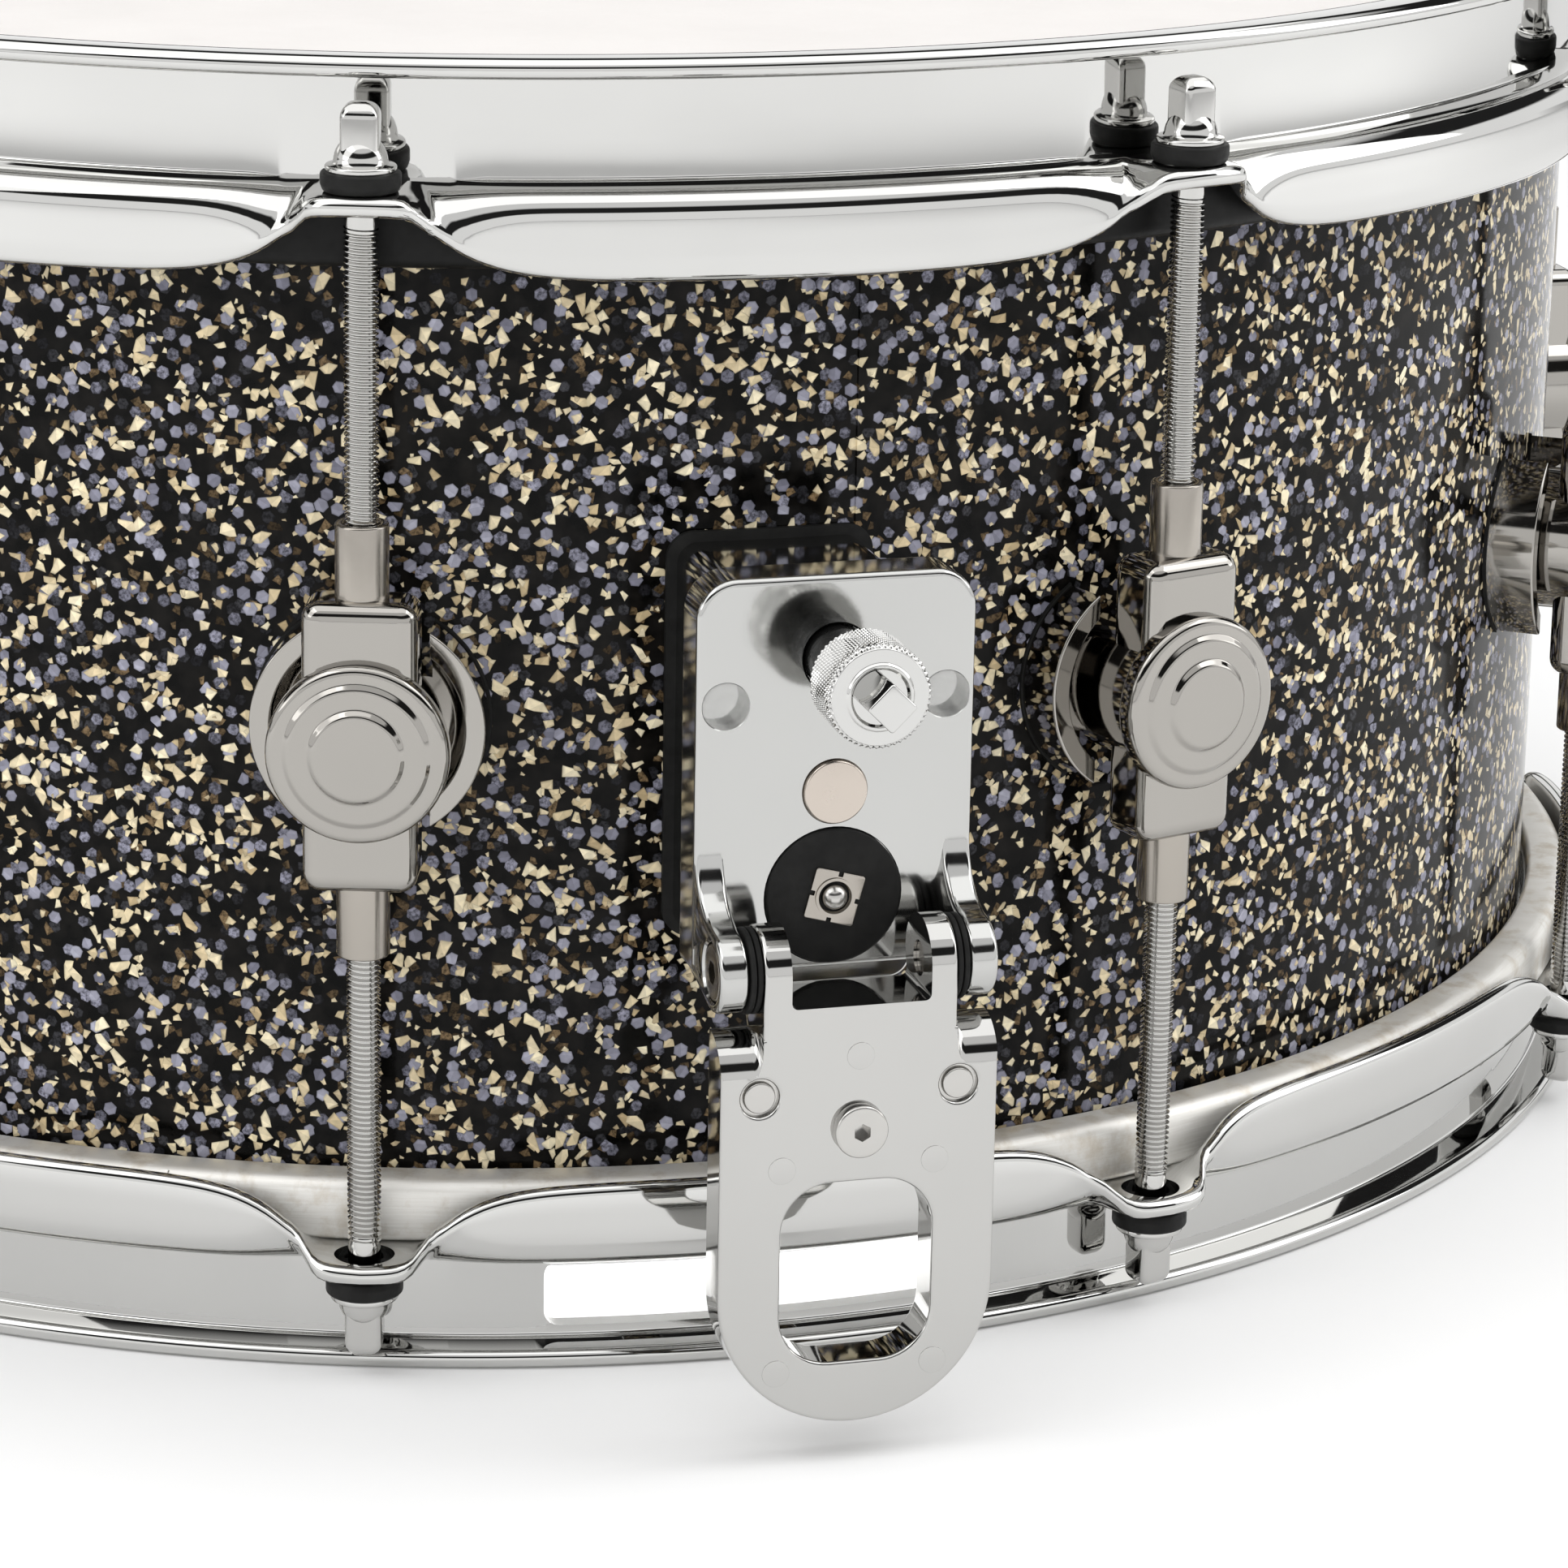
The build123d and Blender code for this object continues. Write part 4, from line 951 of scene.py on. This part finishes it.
def make_strainer_body():
    corners = [(-PLATE_HALF, PLATE_LOW), (PLATE_HALF, PLATE_LOW), (PLATE_HALF, PLATE_TOP, 5.6), (-PLATE_HALF, PLATE_TOP, 5.6)]
    outline = softened(corners, 1.3, steps=10)
    plate = slab(outline, PLATE_BACK, PLATE_FRONT, 0.9, steps=4)
    arms = across_slab(arm_outline(), *EAR_SPAN, 0.8)
    mouth = PLATE_FRONT + 1
    holes = [
        disc_cut(4.5, PLATE_FRONT - 3, mouth, 0, MAGNET_UP, 0.15),
        disc_cut(9.7, PLATE_FRONT - 1.1, mouth, 0, DISC_UP, 0.1),
        disc_cut(4.7, PLATE_FRONT - 4, mouth, 0, KNOB_UP, 0.3),
        disc_cut(3.3, PLATE_FRONT - 3, mouth, -BUMPER_ACROSS, BUMPER_UP, 0.1),
        disc_cut(3.3, PLATE_FRONT - 3, mouth, BUMPER_ACROSS, BUMPER_UP, 0.1)]
    for side in (-1, 1):
        pocket = lathe([(0, side * 17.2), (4.15, side * 17.2), (4.15, side * 19.2), (5.2, side * 20.2), (0, side * 20.2)], 48)
        bore = lathe([(0, side * 15), (2.6, side * 15), (2.6, side * 18), (0, side * 18)], 32)
        holes += [about_across(pocket, HINGE_UP, HINGE_OUT), about_across(bore, HINGE_UP, HINGE_OUT)]
    body = united("strainer_plate", [plate] + arms, holes, sharp=30)
    piece("strainer_plate", body, PLATE_CHROME, "drum", ["strainer_body"], even=True)

    neck_face = rounded_box(NECK_HALF, (NECK_TOP - NECK_LOW) / 2, 3.0, (0, (NECK_TOP + NECK_LOW) / 2), steps=8)
    neck = slab(neck_face, 174, PLATE_BACK + 1, 0.4)
    inner = lathe([(0, NECK_LOW - 8), (WRAP_RADIUS + 0.8, NECK_LOW - 8), (WRAP_RADIUS + 0.8, NECK_TOP + 8), (0, NECK_TOP + 8)], 288)
    (u, v, h), faces = inner[0].T, inner[1]
    drum_space = (np.column_stack((u, h, v)), faces)
    cavity = slab(rounded_box(8, 26, 1.0, (0, NECK_LOW + 16)), 186, 200, 0.5)
    whole = united("strainer_neck_skin", [neck], [drum_space, cavity], sharp=30)
    piece("strainer_neck_skin", whole, PLATE_CHROME, "drum", ["strainer_neck"], even=True)


def make_hinge_fittings():
    """Washers in the two hinges, and the socket screws they turn on."""
    for number, side in enumerate((-1, 1), start=1):
        rings = []
        for low, high in ((13.68, 14.42), (14.58, 15.32)):
            ring = softened([(2.5, low), (5.95, low, 0.25), (5.95, high, 0.25), (2.5, high)], 0, steps=3)
            rings.append(about_across(lathe([(r, side * h) for r, h in ring], 56), HINGE_UP, HINGE_OUT))
        mesh = local_mesh("hinge_washers", rings, 40)
        piece(f"hinge_washers_{number}", mesh, RUBBER, "drum", ["hinge_washers"])

        head = [(0, 17.2), (2.4, 17.2), (2.4, 10.2), (0, 10.2)]
        shank = about_across(lathe([(r, side * h) for r, h in head], 32), HINGE_UP, HINGE_OUT)
        cap = softened([(0, 17.2), (4.0, 17.2), (4.0, 19.35, 0.5), (0, 19.35)], 0, closed=False, steps=4)
        cap = about_across(lathe([(r, side * h) for r, h in cap], 56), HINGE_UP, HINGE_OUT)
        hexagon = arc((HINGE_OUT, HINGE_UP), 1.75, 0, 300, 6)
        low, high = sorted((side * 17.8, side * 21))
        socket = facing_across(slab(hexagon, low, high))
        screw = united("hinge_screw", [shank, cap], [socket], sharp=30)
        piece(f"hinge_screw_{number}", screw, NICKEL, "drum", ["hinge_screws"])


def make_plate_fittings():
    """Magnet, black disc with its spring clip and stud, and two soft bumpers."""
    face = PLATE_FRONT
    magnet = softened([(0, face - 3), (4.45, face - 3), (4.45, face + 0.8, 0.3), (0, face + 0.8)], 0, closed=False)
    mesh = local_mesh("magnet", [about_out(lathe(magnet, 64), 0, MAGNET_UP)])
    piece("magnet_disc", mesh, MAGNET, "drum", ["magnet"])

    disc = softened([(0, face - 1.1), (9.6, face - 1.1), (9.6, face + 0.6, 0.35), (0, face + 0.6)], 0, closed=False)
    mesh = local_mesh("guide", [about_out(lathe(disc, 96), 0, DISC_UP)])
    piece("guide_plate", mesh, BLACK_NYLON, "drum", ["guide_disc"])

    clip = rounded_box(3.6, 3.6, 0.4)
    plate = slab(clip, face + 0.5, face + 1.05, 0.12)
    ring = about_out(lathe([(2.75, face + 1.0), (2.75, face + 1.3), (2.35, face + 1.3), (2.1, face + 0.9), (2.1, face + 0.3), (2.75, face + 0.3)], 48))
    notches = [slab(rounded_box(0.35, 0.55, 0.1, (0, side * 3.5)), face, face + 2) for side in (-1, 1)]
    notches += [slab(rounded_box(0.55, 0.35, 0.1, (side * 3.5, 0)), face, face + 2) for side in (-1, 1)]
    hole = about_out(lathe([(0, face), (2.3, face), (2.3, face + 2), (0, face + 2)], 48))
    clip = united("clip", [plate], notches + [hole], sharp=30)
    verts, faces = mesh_parts(clip)
    clip_shape = np.column_stack((verts[:, 0], verts[:, 2], -verts[:, 1])) / MM
    verts, faces = joined([(clip_shape, faces), ring])
    turn = radians(-15)
    across = verts[:, 0] * cos(turn) - verts[:, 1] * sin(turn)
    up = verts[:, 0] * sin(turn) + verts[:, 1] * cos(turn) + DISC_UP
    mesh = make_mesh("clip", to_world(np.column_stack((across, up, verts[:, 2]))), faces, 30)
    piece("spring_clip", mesh, NICKEL, "drum", ["push_nut"])

    ball = [(0, face - 0.8), (1.5, face - 0.8)] + arc((0, face + 0.55), 1.85, -20, 86, 14) + [(0, face + 2.4)]
    mesh = local_mesh("stud", [about_out(lathe(ball, 48), 0, DISC_UP)])
    piece("stud_ball", mesh, STEEL, "drum", ["guide_stud"])

    dish = [(0, face - 2.9), (3.2, face - 2.9), (3.2, face + 0.6)] + arc((2.5, face + 0.6), 0.7, 0, 90, 6)
    dish += [(2.25, face + 1.3), (1.95, face + 0.95), (1.5, face + 1.0), (0.8, face + 1.15), (0, face + 1.2)]
    for number, across in enumerate((-BUMPER_ACROSS, BUMPER_ACROSS), start=1):
        mesh = local_mesh("bumper", [about_out(lathe(dish, 56), across, BUMPER_UP)], 40)
        piece(f"bumper_{number}", mesh, CLEAR, "drum", ["bumpers"])


# ---- throw-off: lever and knob ------------------------------------------
SHOULDER_UP, GAP_UP = HINGE_UP - 8.0, HINGE_UP - 4.0
SHOULDER_ROUND = 6.5
LEVER_EARS = (9.8, 13.6)
SLOT_HALF, SLOT_LOW, SLOT_TOP, SLOT_ROUND = 10.75, LEVER_LOW + 9.0, LEVER_LOW + 35.2, 7.2
STRIKER_UP, PIN_UP, PIN_ACROSS = middle_mm("lever_striker", 2), middle_mm("lever_pins", 2), 14.0
MARKS = ((0, 53.3), (-10.8, 37.6), (10.8, 37.6), (-11.2, 8.1), (11.2, 8.1))   # across, above the lever's end


def lever_outline():
    low = arc((0, LEVER_LOW + LEVER_HALF), LEVER_HALF, 180, 360, 49)
    return low + [(LEVER_HALF, SHOULDER_UP), (-LEVER_HALF, SHOULDER_UP)]


def make_lever():
    """Paddle with a finger slot, whose shoulders curve back beside the two ears."""
    slot = rounded_box(SLOT_HALF, (SLOT_TOP - SLOT_LOW) / 2, SLOT_ROUND, (0, (SLOT_TOP + SLOT_LOW) / 2), steps=12)
    openings = [slot, circle(2.6, (0, STRIKER_UP)), circle(2.7, (-PIN_ACROSS, PIN_UP)), circle(2.7, (PIN_ACROSS, PIN_UP))]
    paddle = slab(lever_outline(), LEVER_BACK, LEVER_FRONT, 0.55, holes=openings, steps=4)
    reach = LEVER_FRONT - HINGE_OUT
    foot = SHOULDER_UP - 4.5
    side_view = [(LEVER_BACK, foot), (LEVER_FRONT, foot)] + arc((HINGE_OUT, HINGE_UP), reach, 0, 205, 40)
    side_view += [(HINGE_OUT - 3.2, SHOULDER_UP - 0.5), (LEVER_BACK, SHOULDER_UP - 3.5)]
    neck = facing_across(slab(side_view, -LEVER_EARS[1], LEVER_EARS[1], 0.7, steps=4))
    start = SHOULDER_UP - SHOULDER_ROUND
    round_off = arc((LEVER_FRONT - SHOULDER_ROUND, start), SHOULDER_ROUND, 90, 0, 18)
    shoulder = [(LEVER_BACK - 3, SHOULDER_UP)] + round_off
    shoulder += [(LEVER_FRONT + 4, start), (LEVER_FRONT + 4, SHOULDER_UP + 6), (LEVER_BACK - 3, SHOULDER_UP + 6)]
    gap = rounded_box(LEVER_EARS[0], 10, 0.9, (0, GAP_UP + 10))
    cuts = across_slab(shoulder, LEVER_EARS[1] + 0.05, LEVER_HALF + 8, 1.3)
    paddle_mesh = united("lever", [paddle], cuts)
    cuts = [slab(gap, LEVER_BACK - 12, LEVER_FRONT + 3)]
    for side in (-1, 1):
        bore = lathe([(0, side * 8), (2.5, side * 8), (2.5, side * 15), (0, side * 15)], 40)
        cuts.append(about_across(bore, HINGE_UP, HINGE_OUT))
    neck_mesh = united("neck", [neck], cuts)
    lever = cut(paddle_mesh, [neck_mesh], "UNION", sharp=30)
    rim = [(0, LEVER_FRONT - 0.3), (1.93, LEVER_FRONT - 0.3), (1.93, LEVER_FRONT + 0.09, 0.06), (0, LEVER_FRONT + 0.09)]
    mark = lathe(softened(rim, 0, closed=False), 40)
    marks = meshes_of([about_out(mark, across, LEVER_LOW + up) for across, up in MARKS])
    piece("lever_paddle", merged([lever] + marks), LEVER_CHROME, "lever", ["throw_lever"], even=True)

    front = LEVER_FRONT
    head = softened([(0, front - 6.5), (2.45, front - 6.5), (2.45, front - 0.05), (3.75, front - 0.05, 0.2), (3.75, front + 1.6, 0.45), (0, front + 1.6)], 0, closed=False)
    striker = united("striker", [about_out(lathe(head, 64), 0, STRIKER_UP)], [slab(arc((0, STRIKER_UP), 1.3, 30, 330, 6), front - 0.4, front + 3)], sharp=30)
    piece("striker_screw", striker, STEEL, "lever", ["lever_striker"])
    for number, side in enumerate((-1, 1), start=1):
        pin = softened([
            (0, LEVER_BACK + 0.6), (2.95, LEVER_BACK + 0.6), (2.95, front - 0.9), (2.3, front - 0.9),
            (2.15, front - 0.2, 0.3), (0, front - 0.2)], 0, closed=False)
        mesh = local_mesh("pin", [about_out(lathe(pin, 48), side * PIN_ACROSS, PIN_UP)])
        piece(f"lever_pin_{number}", mesh, STEEL, "lever", ["lever_pins"])


def knurled(radius, low, high, pitch=0.86, depth=0.40):
    """A grip cut with crossed grooves that leave rows of small pyramids."""
    around = int(2 * pi * radius / pitch)
    columns, rows = around * 6, int((high - low) / pitch * 6)
    verts = []
    for j in range(columns):
        turn = 2 * pi * j / columns
        for i in range(rows + 1):
            along = (high - low) * i / rows
            a = (j / 6 + along / pitch) % 1.0
            b = (j / 6 - along / pitch) % 1.0
            groove = min(1 - abs(2 * a - 1), 1 - abs(2 * b - 1), 0.8)
            edge = min(along, high - low - along, 0.5) / 0.5
            r = radius - depth * (1 - groove) - 0.45 * (1 - edge) ** 2
            verts.append((r * cos(turn), r * sin(turn), low + along))
    count = rows + 1
    faces = []
    for j in range(columns):
        a, b = j * count, (j + 1) % columns * count
        faces += [[a + i, b + i, b + i + 1, a + i + 1] for i in range(rows)]
    faces.append([j * count for j in range(columns)][::-1])
    faces.append([j * count + rows for j in range(columns)])
    return np.array(verts), faces


def make_knob():
    """Black screw shaft, knurled grip, and a square for the drum key in a conical recess."""
    back, face = 223.0, 232.0
    grip = about_out(knurled(7.3, back, face), 0, KNOB_UP)
    nose = softened([(0, face - 0.5), (6.85, face - 0.5), (6.6, face + 0.12, 0.2), (4.75, face + 0.12, 0.2), (4.45, face + 0.5, 0.25),
                     (4.1, face + 0.5, 0.15), (3.5, face - 0.35, 0.1), (0, face - 0.35)], 0, closed=False)
    nose = about_out(lathe(nose, 96), 0, KNOB_UP)
    square = square_head(2.45, face - 0.5, 238.0, corner=0.45, crown=0.3)
    (u, v, h), faces = square[0].T, square[1]
    turn = radians(45)
    key = (np.column_stack((u * cos(turn) - v * sin(turn), u * sin(turn) + v * cos(turn) + KNOB_UP, h)), faces)
    mesh = local_mesh("knob", [grip, nose, key], 25)
    piece("knob_grip", mesh, CHROME, "knob", ["tension_knob"])
    shaft = softened([(0, 190), (3.0, 190), (3.0, PLATE_FRONT - 3.6), (4.5, PLATE_FRONT - 3.6), (4.5, back + 0.1), (0, back + 0.1)], 0, closed=False)
    mesh = local_mesh("shaft", [about_out(lathe(shaft, 64), 0, KNOB_UP)])
    piece("knob_shaft", mesh, BLACK_GLOSS, "knob", ["tension_screw"])


# ---- butt plate ---------------------------------------------------------
BUTT_HALF, BUTT_LOW, BUTT_TOP, BUTT_OUT = 21.0, 32.0, 64.0, 193.0
BUTT_STEP, BUTT_FLOOR = 49.0, 189.0


def make_butt_plate():
    face = rounded_box(BUTT_HALF, (BUTT_TOP - BUTT_LOW) / 2, 3.5, (0, (BUTT_TOP + BUTT_LOW) / 2), steps=8)
    block = slab(face, 172, BUTT_OUT, 1.0, steps=4)
    inner = lathe([(0, BUTT_LOW - 8), (WRAP_RADIUS + 0.8, BUTT_LOW - 8), (WRAP_RADIUS + 0.8, BUTT_TOP + 8), (0, BUTT_TOP + 8)], 288)
    (u, v, h), faces = inner[0].T, inner[1]
    step = slab(rounded_box(BUTT_HALF + 6, 12, 1.5, (0, BUTT_STEP - 12)), BUTT_FLOOR, BUTT_OUT + 6, 0.6)
    body = united("butt", [block], [(np.column_stack((u, h, v)), faces), step], sharp=30)
    body.transform(Matrix.Rotation(pi, 4, "Z"))
    piece("butt_block", body, LEVER_CHROME, "drum", ["butt_body"], even=True)

    plate = rounded_box(BUTT_HALF - 2, (BUTT_STEP - 0.8 - BUTT_LOW - 1) / 2, 2.5, (0, (BUTT_STEP + BUTT_LOW + 0.2) / 2), steps=6)
    plate = local_mesh("clamp", [slab(plate, BUTT_FLOOR + 0.8, 193.3, 0.8, steps=4)], 30, 180)
    piece("butt_clamp", plate, LEVER_CHROME, "drum", ["butt_clamp_plate"])
    for number, across in enumerate((-12, 12), start=1):
        flange = softened([(0, 193.2), (4.6, 193.2), (4.6, 194.3, 0.4), (4.0, 194.6, 0.3), (3.0, 195.2), (0, 195.2)], 0, closed=False)
        flange = about_out(lathe(flange, 48), across, 41)
        verts, faces = square_head(2.65, 194.2, 199.3)
        square = (verts + (across, 41, 0), faces)
        mesh = local_mesh("screw", [flange, square], 30, 180)
        piece(f"butt_screw_{number}", mesh, ROD_CHROME, "drum", ["butt_clamp_screws"])


# ---- CAD pieces that stay -----------------------------------------------
def finish_cad_nodes():
    """The pieces seen only inside or behind others keep their CAD shape."""
    looks = {
        "shell": MAPLE, "reinforcement_rings": MAPLE, "vent_eyelet": NICKEL, "lug_gaskets": RUBBER,
        "lug_screws": STEEL, "mounting_screws": STEEL, "strainer_gasket": RUBBER, "butt_gasket": RUBBER,
        "snare_carriage": CAST_ZINC, "snare_clamp": CAST_ZINC, "snare_clamp_plate": CAST_ZINC, "snare_clamp_screws": STEEL}
    for name, material in looks.items():
        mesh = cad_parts[name].data
        mesh.materials.clear()
        mesh.materials.append(material)


# ---- studio -------------------------------------------------------------
def area_light(name, place, size, energy, aim, colour=(1, 1, 1)):
    light = bpy.data.lights.new(name, "AREA")
    light.shape = "RECTANGLE"
    light.size, light.size_y = size
    light.energy = energy
    light.color = colour
    lamp = bpy.data.objects.new(name, light)
    bpy.context.scene.collection.objects.link(lamp)
    lamp.location = place
    lamp.rotation_euler = (lamp.location - Vector(aim)).to_track_quat("Z", "Y").to_euler()
    return lamp


def make_world():
    """White surroundings with dark bands round the room, which bright metal picks up as black lines."""
    world = bpy.data.worlds.new("studio")
    bpy.context.scene.world = world
    world.use_nodes = True
    tree = world.node_tree
    background = tree.nodes["Background"]
    where = tree.nodes.new("ShaderNodeTexCoord")
    axes = tree.nodes.new("ShaderNodeSeparateXYZ")
    tree.links.new(where.outputs["Generated"], axes.inputs[0])
    ramp = tree.nodes.new("ShaderNodeValToRGB")
    stops = [(0.0, 1.0), (0.31, 1.0), (0.35, 0.02), (0.60, 0.02), (0.66, 0.85)]
    elements = ramp.color_ramp.elements
    while len(elements) < len(stops):
        elements.new(0.5)
    for element, (place, level) in zip(elements, stops):
        element.position = place
        element.color = (level, level, level, 1)
    tree.links.new(axes.outputs["Z"], ramp.inputs[0])
    low = tree.nodes.new("ShaderNodeMapRange")
    for socket, number in zip(("From Min", "From Max", "To Min", "To Max"), (0.06, 0.09, 1.0, 0.0)):
        low.inputs[socket].default_value = number
    tree.links.new(axes.outputs["Z"], low.inputs["Value"])
    behind = tree.nodes.new("ShaderNodeMapRange")
    for socket, number in zip(("From Min", "From Max", "To Min", "To Max"), (0.3, 0.5, 0.0, 0.97)):
        behind.inputs[socket].default_value = number
    tree.links.new(axes.outputs["Y"], behind.inputs["Value"])
    both = tree.nodes.new("ShaderNodeMath")
    both.operation = "MULTIPLY"
    tree.links.new(low.outputs[0], both.inputs[0])
    tree.links.new(behind.outputs[0], both.inputs[1])
    horizon = tree.nodes.new("ShaderNodeMix")
    horizon.data_type = "RGBA"
    tree.links.new(both.outputs[0], horizon.inputs["Factor"])
    tree.links.new(ramp.outputs[0], horizon.inputs["A"])
    horizon.inputs["B"].default_value = (0.03, 0.03, 0.03, 1)
    ways = tree.nodes.new("ShaderNodeLightPath")
    mixer = tree.nodes.new("ShaderNodeMix")
    mixer.data_type = "RGBA"
    tree.links.new(ways.outputs["Is Camera Ray"], mixer.inputs["Factor"])
    tree.links.new(horizon.outputs["Result"], mixer.inputs["A"])
    mixer.inputs["B"].default_value = (1, 1, 1, 1)
    tree.links.new(mixer.outputs["Result"], background.inputs["Color"])
    background.inputs["Strength"].default_value = 1.08


def make_floor():
    """A pale floor that the light washes out to white."""
    shader = Shader("floor", Roughness=0.9, Specular_IOR_Level=0.0)
    tint = shader.ramp(shader.noise(400.0, 2.0), 0.3, 0.7)
    shader.give("Base Color", shader.mix(tint, (0.90, 0.90, 0.90, 1), (0.92, 0.92, 0.92, 1)))
    size = 3.0
    verts = [(-size, -size, 0), (size, -size, 0), (size, size, 0), (-size, size, 0)]
    floor = new_object("floor", make_mesh("floor", verts, [(0, 1, 2, 3)]), shader.material)


def make_camera():
    camera = bpy.data.cameras.new("camera")
    camera.sensor_width = 36.0
    camera.lens = 132.47
    camera.clip_start, camera.clip_end = 0.05, 20.0
    holder = bpy.data.objects.new("camera", camera)
    bpy.context.scene.collection.objects.link(holder)
    yaw, pitch, roll = radians(16.084), radians(-16.707), radians(1.057)
    forward = np.array([sin(yaw) * cos(pitch), cos(yaw) * cos(pitch), sin(pitch)])
    level = np.array([cos(yaw), -sin(yaw), 0])
    upward = np.cross(level, forward)
    right = level * cos(roll) + upward * sin(roll)
    top = -level * sin(roll) + upward * cos(roll)
    place = Matrix.Identity(4)
    for column, axis in enumerate((right, top, -forward)):
        for row in range(3):
            place[row][column] = axis[row]
    for row, value in enumerate((-214.4, -930.6, 318.1)):
        place[row][3] = value * MM
    holder.matrix_world = place
    bpy.context.scene.camera = holder


def make_studio():
    make_world()
    make_floor()
    make_camera()
    area_light("overhead", (0.0, 0.1, 1.6), (2.4, 2.4), 14.5, (0, 0, 0))
    area_light("left", (-1.1, -0.4, 0.75), (0.7, 1.2), 4.2, (-0.55, -0.4, 0))
    area_light("right", (1.1, -0.4, 0.75), (0.7, 1.2), 5.4, (0.55, -0.4, 0))
    front = area_light("front", (-0.5, -1.6, 0.9), (2.0, 1.0), 8.5, (0, 0, 0.02))
    under = area_light("under_drum", (0.0, 0.0, 0.0105), (0.34, 0.34), 0.42, (0, 0, 0))
    under.data.shape = "DISK"
    for lamp in (front, under):
        lamp.visible_camera = False
        lamp.visible_glossy = False
    settings = bpy.context.scene.view_settings
    settings.view_transform = "Standard"
    settings.look = "None"


make_rims()
make_skin_and_heads()
make_rods()
make_washers()
make_lugs()
make_strainer_body()
make_hinge_fittings()
make_plate_fittings()
make_lever()
make_knob()
make_butt_plate()
finish_cad_nodes()
make_studio()
